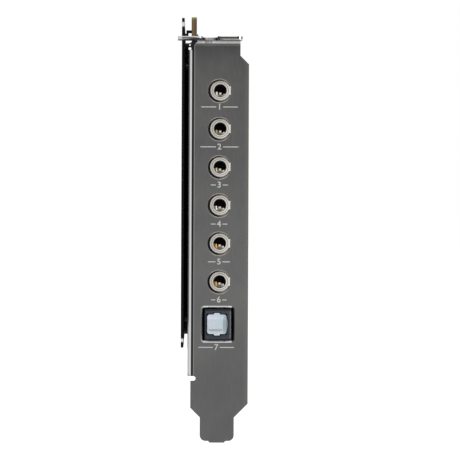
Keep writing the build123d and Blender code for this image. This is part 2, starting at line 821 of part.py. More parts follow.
# Dust plug pressed into the optical port
plug_front = plate_y - plug_proud
bulge_half = plug_side / 2 - plug_corner
with BuildPart() as optical_dust_plug:
    with BuildSketch(Plane.XZ.offset(-port_y + plug_stem_gap + emitter_length)):
        with Locations((optical_axis_x, optical_z)):
            add(keyed_square(0, plug_corner))
    extrude(amount=port_y - plug_stem_gap - emitter_length - plug_front)
    with BuildSketch(Plane.XZ.offset(-optical_front)):
        with BuildLine(Plane.XZ.shift_origin((optical_axis_x + plug_side / 2, 0, optical_z))):
            bow = ThreePointArc((0, -bulge_half), (plug_bulge, 0), (0, bulge_half))
            Line(bow @ 1, bow @ 0)
        make_face()
    extrude(amount=optical_front - plug_front)
    with BuildSketch(Plane.XZ.offset(-plug_front)):
        with Locations((optical_axis_x + plug_grip_shift, optical_z)):
            Rectangle(plug_grip_width, plug_grip_height)
    extrude(amount=plug_grip_proud)
    chamfer(optical_dust_plug.faces().sort_by(Axis.Y)[0].edges(), edge_break)
save(optical_dust_plug, "optical_dust_plug")


def make_cans(places, radius, height):
    """Aluminium cans with a broken top edge, standing on their bases."""
    with BuildPart() as cans:
        with BuildSketch(Plane.YZ.offset(board_face_x + can_base_height)):
            with Locations(*places):
                Circle(radius)
        extrude(amount=height - can_base_height)
        chamfer(cans.edges().filter_by(GeomType.CIRCLE).group_by(Axis.X)[-1], can_chamfer)
    return cans


def make_can_bases(places, side):
    """Square moulded bases with two cut corners that show the polarity."""
    with BuildPart() as bases:
        for place in places:
            with BuildSketch(Plane.YZ.offset(board_face_x)) as base_sketch:
                with Locations(place):
                    Rectangle(side, side)
                chamfer(base_sketch.vertices().sort_by(Axis.X)[-2:], can_base_cut)
            extrude(amount=can_base_height)
    return bases


coupling_places = [(y, z) for z in jack_zs for y in coupling_ys]
save(make_cans(coupling_places, coupling_radius, coupling_height), "coupling_capacitor_cans")
save(make_can_bases(coupling_places, coupling_base_side), "coupling_capacitor_bases")
save(make_cans(filter_places, filter_radius, filter_height), "filter_capacitor_cans")
save(make_can_bases(filter_places, filter_base_side), "filter_capacitor_bases")


def lead_planes(place, body_y, body_z, counts, pitch):
    """One plane for each lead, local x pointing out of the body and local y off the board."""
    planes = []
    sides = (((0, 1, 0), body_y, counts[0]), ((0, 0, 1), body_z, counts[1]))
    for direction, body, count in sides:
        for sign in (1, -1):
            outward = Vector(*direction) * sign
            along = outward.cross(Vector(1, 0, 0))
            for index in range(count):
                shift = (index - (count - 1) / 2) * pitch
                origin = Vector(board_face_x, *place) + outward * (body / 2) + along * shift
                planes.append(Plane(origin=origin, x_dir=outward, z_dir=along))
    return planes


def make_package(place, outline):
    """Moulded package with gull-wing leads, fused as it comes from its mould."""
    body_y, body_z, body_height, counts, pitch = outline
    half_height = package_gap + body_height / 2
    knee = lead_reach / 2
    with BuildPart() as package:
        with BuildSketch(board_plane(*place, half_height)):
            Rectangle(body_y, body_z)
        extrude(amount=body_height / 2, taper=package_taper)
        with BuildSketch(board_plane(*place, half_height)):
            Rectangle(body_y, body_z)
        extrude(amount=-body_height / 2, taper=package_taper)
        with BuildSketch(*lead_planes(place, body_y, body_z, counts, pitch)):
            with BuildLine():
                Polyline(
                    (-lead_thickness, half_height + lead_thickness / 2),
                    (knee, half_height + lead_thickness / 2),
                    (knee, lead_thickness),
                    (lead_reach, lead_thickness),
                    (lead_reach, 0),
                    (knee - lead_thickness, 0),
                    (knee - lead_thickness, half_height - lead_thickness / 2),
                    (-lead_thickness, half_height - lead_thickness / 2),
                    close=True,
                )
            make_face()
        extrude(amount=pitch * lead_share / 2, both=True)
    return package


for number, axis_z in enumerate(jack_zs, start=1):
    save(make_package((amplifier_y, axis_z), small_outline), f"output_amplifier_{number}")
save(make_package(headphone_amplifier_place, small_outline), "headphone_amplifier")
save(make_package(memory_place, small_outline), "memory_chip")
save(make_package(converter_place, converter_outline), "output_converter")
save(make_package(input_converter_place, input_converter_outline), "input_converter")
save(make_package(processor_place, processor_outline), "audio_processor")
for number, place in enumerate(relay_places, start=1):
    save(make_package(place, relay_outline), f"mute_relay_{number}")

# Film capacitors
with BuildPart() as film_capacitors:
    with BuildSketch(Plane.YZ.offset(board_face_x)):
        with Locations(*film_places):
            Rectangle(film_size[0], film_size[1])
    extrude(amount=film_size[2])
    chamfer(film_capacitors.faces().group_by(Axis.X)[-1].edges(), film_chamfer)
save(film_capacitors, "film_capacitors")

# Power inductors
with BuildPart() as power_inductors:
    with BuildSketch(Plane.YZ.offset(board_face_x)):
        with Locations(*inductor_places):
            RectangleRounded(inductor_side, inductor_side, inductor_corner)
    extrude(amount=inductor_height)
save(power_inductors, "power_inductors")

# Voltage regulators: body, heat tab and two leads in one moulded package
tab_y = (regulator_body[0] + regulator_tab[0]) / 2
lead_y = (regulator_body[0] + regulator_lead[0]) / 2
with BuildPart() as voltage_regulators:
    with BuildSketch(Plane.YZ.offset(board_face_x)):
        with Locations(*regulator_places):
            Rectangle(regulator_body[0], regulator_body[1])
    extrude(amount=regulator_body[2], taper=package_taper)
    with BuildSketch(Plane.YZ.offset(board_face_x)):
        with Locations(*regulator_places):
            with Locations((tab_y, 0)):
                Rectangle(regulator_tab[0] + edge_break, regulator_tab[1])
            with Locations((-lead_y, -regulator_lead_pitch / 2), (-lead_y, regulator_lead_pitch / 2)):
                Rectangle(regulator_lead[0] + edge_break, regulator_lead[1])
    extrude(amount=regulator_tab[2])
save(voltage_regulators, "voltage_regulators")

# Crystals in welded cans with a rim
with BuildPart() as crystals:
    with BuildSketch(Plane.YZ.offset(board_face_x)):
        with Locations(*crystal_places):
            SlotOverall(crystal_length + 2 * crystal_rim, crystal_width + 2 * crystal_rim, rotation=90)
    extrude(amount=crystal_rim)
    with BuildSketch(Plane.YZ.offset(board_face_x + crystal_rim)):
        with Locations(*crystal_places):
            SlotOverall(crystal_length, crystal_width, rotation=90)
    extrude(amount=crystal_height - crystal_rim)
save(crystals, "crystals")


def make_header(header_y, columns, rows, pins):
    """Moulded header base, and the square pins that stand in it."""
    pin_hole = header_pin_side + solder_face_gap
    with BuildPart() as base:
        with BuildSketch(Plane.YZ.offset(board_face_x)) as base_sketch:
            with Locations((header_y, header_z)):
                Rectangle(columns * header_pitch, rows * header_pitch)
            chamfer(base_sketch.vertices(), header_corner)
            with Locations(*pins):
                Rectangle(pin_hole, pin_hole, mode=Mode.SUBTRACT)
        extrude(amount=header_base_height)
    with BuildPart() as posts:
        with BuildSketch(Plane.YZ.offset(board_back_x)):
            with Locations(*pins):
                Rectangle(header_pin_side, header_pin_side)
        extrude(amount=board_thickness + header_pin_reach)
    return base, posts


front_base, front_posts = make_header(front_header_y, front_header_columns, 2, front_header_pins)
save(front_base, "front_audio_header")
save(front_posts, "front_audio_pins")
digital_base, digital_posts = make_header(digital_header_y, digital_header_columns, 1, digital_header_pins)
save(digital_base, "digital_header")
save(digital_posts, "digital_header_pins")


def make_chips(places):
    """Small two-ended chips lying flat on the board."""
    with BuildPart() as chips:
        with BuildSketch(Plane.YZ.offset(board_face_x)):
            with Locations(*places):
                Rectangle(chip_length, chip_width)
        extrude(amount=chip_height)
    return chips


def block_places(blocks):
    """Places of chips in columns, each column from its top place down."""
    return [(y, top_z - index * chip_pitch) for y, top_z, count in blocks for index in range(count)]


resistor_places = [top_chip_place] + block_places(resistor_blocks)
for axis_z in jack_zs:
    for y in resistor_ys:
        for index in range(resistors_per_jack):
            resistor_places.append((y, axis_z + (index - (resistors_per_jack - 1) / 2) * chip_pitch))
rear_blocks = [(board_rear - inset, top_z, count) for inset, top_z, count in rear_capacitor_blocks]
capacitor_places = block_places(list(capacitor_blocks) + rear_blocks)
save(make_chips(resistor_places), "chip_resistors")
save(make_chips(capacitor_places), "chip_capacitors")

# Solder joints over the ends of the pins, on the solder side
with BuildPart() as solder_joints:
    with BuildSketch(Plane.YZ.offset(board_back_x)):
        with Locations(*(jack_slots + optical_slots)):
            Rectangle(slot_short + joint_margin, slot_long + joint_margin)
        with Locations(*square_holes):
            Rectangle(square_hole + joint_margin, square_hole + joint_margin)
    extrude(amount=-joint_height)
    joint_tips = solder_joints.faces().filter_by(Axis.X).group_by(Axis.X)[0]
    chamfer(joint_tips.edges(), joint_height * joint_slope_share, joint_slope)
save(solder_joints, "solder_joints")
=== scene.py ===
import contextlib
import math

import bmesh
import bpy
from mathutils import Matrix, Vector


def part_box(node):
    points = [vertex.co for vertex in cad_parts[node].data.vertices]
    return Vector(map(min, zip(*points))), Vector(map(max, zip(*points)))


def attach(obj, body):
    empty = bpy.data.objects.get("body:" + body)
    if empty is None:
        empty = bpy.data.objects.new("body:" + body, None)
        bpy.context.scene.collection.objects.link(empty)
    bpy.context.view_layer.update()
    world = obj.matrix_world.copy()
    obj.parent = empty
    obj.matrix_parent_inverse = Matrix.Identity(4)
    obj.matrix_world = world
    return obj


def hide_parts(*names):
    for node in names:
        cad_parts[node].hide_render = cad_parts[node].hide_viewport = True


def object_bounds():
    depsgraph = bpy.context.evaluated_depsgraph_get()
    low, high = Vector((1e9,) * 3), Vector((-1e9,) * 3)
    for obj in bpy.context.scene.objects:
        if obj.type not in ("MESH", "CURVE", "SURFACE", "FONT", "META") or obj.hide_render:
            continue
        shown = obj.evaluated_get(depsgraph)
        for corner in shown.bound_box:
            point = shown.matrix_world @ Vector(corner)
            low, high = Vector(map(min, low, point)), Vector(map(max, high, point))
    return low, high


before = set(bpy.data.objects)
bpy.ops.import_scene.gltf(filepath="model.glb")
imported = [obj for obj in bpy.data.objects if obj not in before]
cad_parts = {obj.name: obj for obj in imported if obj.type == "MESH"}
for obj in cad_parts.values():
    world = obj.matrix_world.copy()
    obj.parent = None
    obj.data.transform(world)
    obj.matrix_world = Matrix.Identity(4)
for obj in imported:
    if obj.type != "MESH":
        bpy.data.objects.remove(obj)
cad_low, cad_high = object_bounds()

MM = 0.001
JACKS = range(1, 7)
BLACK = (0, 0, 0)
WELD_STEPS_PER_MM = 200


def low(node):
    """Lowest corner of a CAD node, in millimetres."""
    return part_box(node)[0] / MM


def high(node):
    """Highest corner of a CAD node, in millimetres."""
    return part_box(node)[1] / MM


def middle(node):
    """Centre of a CAD node, in millimetres."""
    return (low(node) + high(node)) / 2


def solids(node):
    """Lowest and highest corner of each separate solid of a CAD node, in millimetres."""
    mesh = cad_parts[node].data
    keys = [tuple(round(value / MM * WELD_STEPS_PER_MM) for value in vertex.co) for vertex in mesh.vertices]
    parent = {key: key for key in keys}

    def root(key):
        while parent[key] != key:
            parent[key] = parent[parent[key]]
            key = parent[key]
        return key

    for face in mesh.polygons:
        first = root(keys[face.vertices[0]])
        for corner in face.vertices[1:]:
            parent[root(keys[corner])] = first
    groups = {}
    for key, vertex in zip(keys, mesh.vertices):
        groups.setdefault(root(key), []).append(vertex.co / MM)
    boxes = []
    for points in groups.values():
        axes = list(zip(*points))
        boxes.append((Vector([min(values) for values in axes]), Vector([max(values) for values in axes])))
    return sorted(boxes, key=lambda box: (round(box[0].z, 1), round(box[0].y, 1)))


def size_and_centres(node):
    """Size of a CAD node's first solid, and the centre of each of its solids."""
    boxes = solids(node)
    return boxes[0][1] - boxes[0][0], [(start + end) / 2 for start, end in boxes]


def paint(red, green, blue):
    """Shader colour of a paint chip given as 0 to 255."""
    channels = []
    for channel in (red, green, blue):
        share = channel / 255
        channels.append(share / 12.92 if share < 0.04045 else ((share + 0.055) / 1.055) ** 2.4)
    return (*channels, 1.0)


class Value:
    """A number in a shader, on which an expression adds its Math nodes."""

    def __init__(self, finish, socket):
        self.finish = finish
        self.socket = socket

    def math(self, operation, *others):
        return self.finish.node("ShaderNodeMath", {"operation": operation}, (self, *others))

    def __add__(self, other):
        return self.math("ADD", other)

    __radd__ = __add__

    def __sub__(self, other):
        return self.math("SUBTRACT", other)

    def __rsub__(self, other):
        return self.math("MULTIPLY_ADD", -1, other)

    def __mul__(self, other):
        return self.math("MULTIPLY", other)

    def __truediv__(self, other):
        return self.math("DIVIDE", other)

    def __abs__(self):
        return self.math("ABSOLUTE")

    def either(self, other):
        return self.math("MAXIMUM", other)

    def clamped(self):
        return self.math("MAXIMUM", 0).math("MINIMUM", 1)

    def above(self, edge, soft):
        """0 below the edge and 1 above it, over a soft width."""
        return ((self - edge) / soft + 0.5).clamped()

    def below(self, edge, soft):
        """1 below the edge and 0 above it, over a soft width."""
        return 1 - self.above(edge, soft)

    def near(self, centre, half, soft):
        """1 within half of the centre, over a soft width."""
        return abs(self - centre).below(half, soft)

    def between(self, start, end, soft):
        """1 between two places, over a soft width."""
        return self.near((start + end) / 2, (end - start) / 2, soft)

    def folded(self, start, pitch):
        """Distance from the nearest of a row of places at an even pitch."""
        return (self - start + pitch / 2).math("FLOORED_MODULO", pitch) - pitch / 2

    def length_with(self, other):
        """Length of the vector that has this and another number as its sides."""
        return (self * self + other * other).math("SQRT")


class Finish:
    """One material: its nodes, its coordinates in millimetres and its shader."""

    def __init__(self, name, **constants):
        self.material = bpy.data.materials.new(name)
        self.material.use_nodes = True
        self.tree = self.material.node_tree
        self.tree.nodes.clear()
        self.shader = self.tree.nodes.new("ShaderNodeBsdfPrincipled")
        output = self.tree.nodes.new("ShaderNodeOutputMaterial")
        self.tree.links.new(self.shader.outputs[0], output.inputs[0])
        self.set(**constants)
        self.point = self.scaled(self.node("ShaderNodeTexCoord", {}, (), "Object"), (1 / MM, 1 / MM, 1 / MM))
        self.x, self.y, self.z = self.axes(self.point)
        self.facing_x, _, self.facing_z = self.axes(self.node("ShaderNodeTexCoord", {}, (), "Normal"))

    def node(self, kind, settings, values, output=0):
        """Adds one node, its settings first, then the values or links of its sockets."""
        made = self.tree.nodes.new(kind)
        for name, setting in settings.items():
            setattr(made, name, setting)
        pairs = values.items() if isinstance(values, dict) else enumerate(values)
        for place, value in pairs:
            if isinstance(value, Value):
                self.tree.links.new(value.socket, made.inputs[place])
            else:
                made.inputs[place].default_value = value
        return Value(self, made.outputs[output])

    def scaled(self, vector, scale):
        """A vector with each of its numbers multiplied."""
        return self.node("ShaderNodeVectorMath", {"operation": "MULTIPLY"}, (vector, scale))

    def axes(self, vector):
        """The three numbers of a vector."""
        return [self.node("ShaderNodeSeparateXYZ", {}, (vector,), axis) for axis in "XYZ"]

    def noise(self, scale, detail=3.0, stretch=(1, 1, 1)):
        """Cloudy pattern with that many waves in a millimetre."""
        values = {"Vector": self.scaled(self.point, stretch), "Scale": scale, "Detail": detail}
        return self.node("ShaderNodeTexNoise", {}, values)

    def mix(self, mask, first, second):
        """First colour where the mask is 0, second where it is 1. Plain colours are given as 0 to 255."""
        first, second = [tone if isinstance(tone, Value) else paint(*tone) for tone in (first, second)]
        settings = {"data_type": "RGBA", "clamp_factor": True}
        return self.node("ShaderNodeMix", settings, {0: mask, 6: first, 7: second}, 2)

    def layered(self, tone, *layers):
        """Colours painted over each other, each through its own mask."""
        for mask, colour in layers:
            tone = self.mix(mask, tone, colour)
        return tone

    def set(self, **channels):
        """Links or sets the shader's inputs."""
        for name, value in channels.items():
            socket = self.shader.inputs[name.replace("_", " ").title().replace("Ior", "IOR")]
            if isinstance(value, Value):
                self.tree.links.new(value.socket, socket)
            else:
                socket.default_value = value

    def relief(self, height, depth, strength=1.0):
        """Surface relief: a height of 0 to 1 over a depth in millimetres."""
        values = {"Strength": strength, "Distance": depth * MM, "Height": height}
        self.set(normal=self.node("ShaderNodeBump", {}, values, "Normal"))
        return self


# Places that the finishes share, from the frame
SHEET = 0.86
NOTCH_TO_FLANGE = 6.35
TAB_DEPTH = 11.43
flange_x = -NOTCH_TO_FLANGE
plate_right = high("bracket").x
plate_y = low("bracket").y + TAB_DEPTH - SHEET
plate_back = plate_y + SHEET
COLLAR_RADIUS = 2.94
jack_axis = [low(f"jack_collar_{number}") + Vector((COLLAR_RADIUS, 0, COLLAR_RADIUS)) for number in JACKS]
jack_pitch = jack_axis[0].z - jack_axis[1].z
HOLE_RADIUS = 3.35
HOLE_SHIFT = -0.2
HOLE_DROP = 0.13
PUNCHED_EDGE = 0.22
hole_x = jack_axis[0].x + HOLE_SHIFT
port_z = middle("optical_housing").z
PORT_X = 2.61
PORT_HALF_WIDTH = 4.6
PORT_HALF_HEIGHT = 4.88
PORT_CORNER = 0.6
PORT_EDGE = 0.36
board_back, board_face = low("circuit_board").x, high("circuit_board").x
board_front = low("circuit_board").y
corner_x = flange_x + 2.6

# Heights on the bracket, where its finish changes
FLANGE_TOP = -2.6
FLANGE_FOOT = -99.3
JACKS_TOP = -9
JACKS_FOOT = -77
PORT_FOOT = -90
CORNER_Z = -1.5


def round_jack(finish):
    """Distance to the right of the nearest jack's axis, and above it."""
    return finish.x - jack_axis[0].x, finish.z.folded(jack_axis[0].z, jack_pitch)


def punched_edges(finish, on_plate):
    """Masks of painted highlights on the rims round the holes and the port, of painted shade on the port's
    right rim, and of painted shade on the inner sides of the holes and the port.
    """
    x, y, z = finish.x, finish.y, finish.z
    row = z.folded(jack_axis[0].z - HOLE_DROP, jack_pitch)
    from_hole = (x - hole_x).length_with(row)
    # Painted highlights on the rims; painted shade on the port's right rim and on the inner sides of the
    # holes and the port
    hole_rim_highlights = from_hole.between(HOLE_RADIUS - 0.02, HOLE_RADIUS + PUNCHED_EDGE + 0.04, 0.06)
    hole_rim_highlights = hole_rim_highlights * z.between(JACKS_FOOT, JACKS_TOP, 0.5)
    side = (abs(x - PORT_X) - (PORT_HALF_WIDTH - PORT_CORNER)).math("MAXIMUM", 0)
    height = (abs(z - port_z) - (PORT_HALF_HEIGHT - PORT_CORNER)).math("MAXIMUM", 0)
    from_port = side.length_with(height) - PORT_CORNER
    port_rim_highlight = from_port.between(-0.02, PORT_EDGE + 0.06, 0.06)
    right_rim_shade = port_rim_highlight * x.above(PORT_X + PORT_HALF_WIDTH - 0.3, 0.2)
    wide_rim_highlight = from_port.between(0.2, PORT_EDGE + 0.18, 0.06) * x.between(-1.8, 6.7, 0.3)
    level = abs(z - port_z).above(PORT_HALF_HEIGHT - 0.25, 0.2)
    level_rim_highlight = port_rim_highlight.either(wide_rim_highlight) * level * (1 - right_rim_shade)
    shaded_walls = from_port.between(-3, 0, 0.04).either(from_hole.between(0, HOLE_RADIUS - 0.03, 0.04))
    shaded_walls = shaded_walls * z.between(PORT_FOOT, JACKS_TOP, 0.4) * on_plate * y.above(plate_y - 0.5, 0.1)
    return hole_rim_highlights, port_rim_highlight, right_rim_shade, level_rim_highlight, shaded_walls


def tab_edge_tones(finish):
    """Bands of light and shade along the tab's cut edge, which mirrors its surroundings."""
    x, z = finish.x, finish.z
    left_line = z + (x + 4.6).math("MAXIMUM", 0) * 0.12
    return finish.layered(
        (190, 189, 187),
        (left_line.between(0.14, 0.5, 0.1) * x.between(-8.3, -1.4, 0.5), (40, 40, 41)),
        (z.between(-0.1, 0.14, 0.08) * x.between(-6.2, -2, 1.2), (60, 60, 60)),
        (x.between(-2.1, 2.1, 0.3), (150, 146, 148)),
        (x.near(-2.0, 0.45, 0.3).either(x.near(2.2, 0.7, 0.5)), (46, 46, 47)),
        (x.above(2.6, 0.5) * z.between(0.1, 0.64, 0.08), (46, 46, 47)),
        (x.above(3.6, 0.8) * z.between(-0.1, 0.06, 0.06), (250, 249, 247)),
        (x.between(8.0, 8.5, 0.1) * z.above(0.1, 0.1), (18, 18, 19)),
        (x.between(8.5, 9.08, 0.08), (250, 250, 249)),
        (x.above(9.12, 0.08), (16, 16, 17)),
    )


def satin_nickel_sheet():
    """Dark satin nickel of the folded bracket, with painted highlights where the sheet is bent, punched or
    cut, a painted sheen on its right edge, and painted shade beside the folded edge, in the holes and under
    the tab.
    """
    finish = Finish("satin_nickel_sheet", metallic=1.0)
    x, y, z = finish.x, finish.y, finish.z
    grain = finish.noise(2.2, 4, (1, 1, 0.12))
    clouds = finish.noise(0.09, 2)
    haze = ((grain - 0.5) * 0.22 + (clouds - 0.5) * 0.4 + 0.08).clamped()
    tone = finish.mix(z.above(-36, 70), (97, 97, 97), (77, 77, 77))
    tone = finish.mix(z.above(-88, 30), (90, 90, 90), tone)
    # Painted sheen: a lighter, warmer band along the right edge
    right_edge_sheen = x.above(plate_right - 1.0, 1.2) * z.between(-112, -3, 2) * 0.3

    on_plate = y.near(plate_y + SHEET / 2, SHEET, 0.1) * z.below(-0.2, 0.1)
    down_flange = z.between(FLANGE_FOOT, FLANGE_TOP, 0.3)
    # Painted highlights on the folded edge and the plate's corner line, and painted shade beside them
    fold_highlight = x.between(flange_x + 0.46, flange_x + 1.02, 0.1) * down_flange
    fold_edge_highlight = x.between(flange_x - 0.2, flange_x + 0.5, 0.1) * z.between(FLANGE_FOOT - 0.3, -84, 3)
    fold_shade = x.between(flange_x + 1.1, flange_x + 1.66, 0.14) * down_flange
    left = (x - corner_x).math("MINIMUM", 0)
    top = (z - CORNER_Z).math("MAXIMUM", 0)
    plate_edge_highlight = left.length_with(top).between(0.68, 0.9, 0.1) * z.between(FLANGE_FOOT, -0.6, 0.2)
    plate_edge_highlight = plate_edge_highlight * x.below(corner_x + 0.2, 0.4)
    hole_rim_highlights, port_rim_highlight, right_rim_shade, level_rim_highlight, shaded_walls = punched_edges(finish, on_plate)
    # Painted highlight on the hole rims, brighter at their top and foot than at their sides
    rim_highlight_tone = finish.mix(abs(x - hole_x).above(2.5, 1.2), (200, 197, 192), (134, 132, 130))

    # Painted highlights on the curve where the tab is bent, and under it
    bend_highlight = z.between(-0.7, -0.04, 0.12) * y.above(plate_y - 0.6, 0.2) * x.between(-4.3, 9.2, 0.3)
    under_bend_highlight = z.between(-1.4, -0.78, 0.3) * on_plate
    bend_highlight_tone = finish.layered(
        (212, 211, 209),
        (x.between(-1.65, 0.7, 0.4), (166, 161, 163)),
        (finish.noise(1.3, 2, (1, 0.3, 0.3)).above(0.6, 0.2), (236, 235, 233)),
    )
    edge = abs(finish.facing_z).below(0.75, 0.1) * y.below(3.6, 0.3) * z.above(-0.05, 0.05)
    # Painted shade under the tab, with a painted highlight on the right toward its front
    underside_shade_and_glint = (finish.facing_z * -1).above(0.9, 0.05) * y.below(4.3, 0.3) * z.below(0.05, 0.02)

    tone = finish.layered(
        tone,
        (haze, (128, 127, 124)),
        (right_edge_sheen * on_plate, (118, 112, 104)),
        (fold_shade * on_plate, (34, 34, 36)),
        (plate_edge_highlight * on_plate * 0.8, (134, 133, 132)),
        (under_bend_highlight * 0.5, (128, 127, 128)),
        (bend_highlight, bend_highlight_tone),
        (fold_edge_highlight * on_plate, (178, 177, 176)),
        (fold_highlight, (199, 197, 195)),
        (hole_rim_highlights, rim_highlight_tone),
        (port_rim_highlight * (1 - right_rim_shade) * 0.9, (150, 148, 145)),
        (level_rim_highlight, (230, 227, 226)),
        (right_rim_shade * 0.9, (36, 36, 38)),
        (shaded_walls, (5, 5, 6)),
        (underside_shade_and_glint, finish.mix(x.above(2.6, 0.8), (44, 44, 45), (10, 10, 11))),
        (underside_shade_and_glint * x.above(3.6, 0.8) * y.below(-1.2, 0.8), (236, 235, 233)),
        (edge, tab_edge_tones(finish)),
    )
    # Less rough where the painted highlights are
    highlight_gloss = fold_highlight.either(level_rim_highlight).either(bend_highlight).clamped()
    finish.set(base_color=tone, roughness=0.36 - highlight_gloss * 0.1 + (grain - 0.5) * 0.12)
    return finish.relief(grain * 0.6 + finish.noise(9, 2, (1, 1, 0.1)) * 0.4, 0.006, 0.5)


def turned_nickel():
    """Nickel of the jacks' collars, with the rings left by turning, the bore painted black as shade, painted
    shade on the collar's side past the plate, and painted light towards the lower right.
    """
    finish = Finish("turned_nickel")
    across, row = round_jack(finish)
    radius = across.length_with(row)
    # Painted shade: the bore black, and the collar's side dark where it sits past the plate
    bore_shade = radius.below(1.86, 0.05)
    shade_behind_plate = finish.y.above(plate_y + 0.35, 0.15) * radius.above(2.6, 0.1)
    rings = (radius * 26).math("SINE") * 0.5 + 0.5
    tone = finish.layered(
        finish.mix(finish.noise(0.8, 3), (181, 177, 170), (195, 191, 185)),
        # Painted light: lighter towards the right and lower down
        ((across - row * 0.5).above(0.8, 3.5), (210, 206, 200)),
        (radius.near(2.4, 0.12, 0.12) * 0.5, (154, 150, 145)),
        (bore_shade, (14, 14, 15)),
        (shade_behind_plate, (18, 18, 19)),
    )
    finish.set(base_color=tone, metallic=1 - bore_shade, roughness=0.26 + rings * 0.08 + bore_shade * 0.2)
    return finish.relief(rings, 0.004, 0.6)


def gilt(name):
    """Gold flash over nickel, a little uneven."""
    finish = Finish(name, metallic=1.0)
    haze = finish.noise(1.6, 3)
    tone = finish.mix(haze, (214, 176, 96), (238, 208, 132))
    finish.set(base_color=tone, roughness=0.2 + haze * 0.16)
    return finish.relief(finish.noise(7, 2), 0.003, 0.5)


def spring_leaf():
    """Contact springs, nickelled on some and gilt on others, with painted highlights at the bore's mouth that
    are made to glow.
    """
    finish = Finish("contact_spring", metallic=1.0, emission_strength=0.85)
    haze = finish.noise(1.6, 3)
    across, row = round_jack(finish)
    left = across.below(-0.4, 0.3)
    tone = (222, 216, 204)
    for foot, top, plating in (
        (-31.7, -20.3, (150, 142, 74)),
        (-43, -31.7, (190, 176, 132)),
        (-65.7, -54.4, (216, 150, 40)),
        (JACKS_FOOT, -65.7, (206, 158, 58)),
    ):
        tone = finish.mix(finish.z.between(foot, top, 1) * left, tone, plating)
    # Painted highlights, made to glow: a round spot below the axis, two upright strips and a faint band on
    # the middle spring
    painted_glint = (across - 0.03).length_with(row + 0.66).below(0.3, 0.3)
    glint_bars = across.near(-0.97, 0.17, 0.06) * 0.62 + across.near(1.14, 0.14, 0.06) * 0.4
    leaf_glow = abs(across).near(0, 0.5, 0.1) * 0.2
    glow_mask = (painted_glint + glint_bars + leaf_glow) * abs(across).near(0, 1.7, 0.1) * abs(row).near(0, 1.9, 0.1)
    finish.set(
        base_color=finish.mix(haze * 0.3, tone, (240, 232, 214)),
        emission_color=finish.mix(glow_mask.clamped(), BLACK, tone),
        roughness=0.2 + haze * 0.14,
    )
    return finish.relief(finish.noise(7, 2), 0.003, 0.5)


def standoff_zinc():
    """Black zinc of the standoffs, with two painted glints, made to glow, where the upper front one meets the
    board.
    """
    finish = Finish("standoff_zinc", metallic=1.0, roughness=0.4, emission_strength=1.0)
    # Painted glints, made to glow
    from_painted_glints = finish.x + 5.98
    large = from_painted_glints.length_with(finish.z + 1.28).below(0.44, 0.14)
    small = from_painted_glints.length_with(finish.z + 0.16).below(0.24, 0.12)
    painted_glints = large.either(small) * finish.y.below(26, 1)
    finish.set(
        base_color=finish.mix(finish.noise(1.2, 3), (26, 26, 27), (40, 40, 42)),
        emission_color=finish.mix(painted_glints, BLACK, (246, 245, 242)),
    )
    return finish.relief(finish.noise(6, 2), 0.004, 0.5)


def moulded(name, shade, light, roughness=0.5, grain=5.0, **constants):
    """Moulded plastic with a fine spark-eroded grain and faint flow marks."""
    finish = Finish(name, coat_roughness=0.3, **constants)
    pits = finish.noise(grain, 3)
    tone = finish.mix(finish.noise(0.35, 2), shade, light)
    finish.set(base_color=tone, roughness=roughness + (pits - 0.5) * 0.18)
    return finish.relief(pits, 0.02, 0.5)


def jack_moulding():
    """Black moulding of the jacks, with pale painted light, made to glow, in the narrow side of the gap round
    each collar.
    """
    finish = Finish("jack_moulding", specular_ior_level=0.25, emission_strength=0.5)
    pits = finish.noise(5, 3)
    across, row = round_jack(finish)
    # Painted light in the gap round each collar, pale and made to glow, on its right side
    gap = across.length_with(row).between(2.8, 3.8, 0.1) * finish.y.below(plate_back + 0.6, 0.2)
    gap = gap * across.above(0.15, 1.9)
    black = finish.mix(finish.noise(0.35, 2), (9, 9, 10), (20, 20, 22))
    finish.set(
        base_color=finish.mix(gap, black, (126, 122, 117)),
        emission_color=finish.mix(gap, BLACK, (126, 122, 117)),
        roughness=0.5 + (pits - 0.5) * 0.18,
    )
    return finish.relief(pits, 0.02, 0.5)


def receptacle():
    """Slate moulding of the optical output, painted near-black as shade in the gap past the bracket's face,
    but for a sill low down.
    """
    finish = Finish("slate_moulding", specular_ior_level=0.3)
    pits = finish.noise(5, 3)
    face = finish.y.below(plate_y + 0.55, 0.2)
    # Painted highlight along the right side
    side_highlight = finish.x.between(6.2, 6.58, 0.08) * face
    sill = finish.z.below(port_z - 4.1, 0.2) * finish.x.between(-1.1, 6.4, 0.2)
    # Painted shade: near-black past the front face, and dark along the top of the face
    tone = finish.layered(
        (4, 4, 5),
        (face, finish.mix(finish.noise(0.4, 2), (50, 56, 68), (62, 68, 80))),
        (side_highlight * 0.85, (140, 143, 148)),
        (finish.z.above(port_z + 3.9, 0.15) * face * 0.85, (18, 18, 20)),
        (sill, (66, 71, 80)),
    )
    # Metallic with a near-black colour where the shade is painted, so that it reflects almost nothing
    finish.set(base_color=tone, metallic=(1 - face) * (1 - sill), roughness=0.42 + (pits - 0.5) * 0.16)
    return finish.relief(pits, 0.02, 0.5)


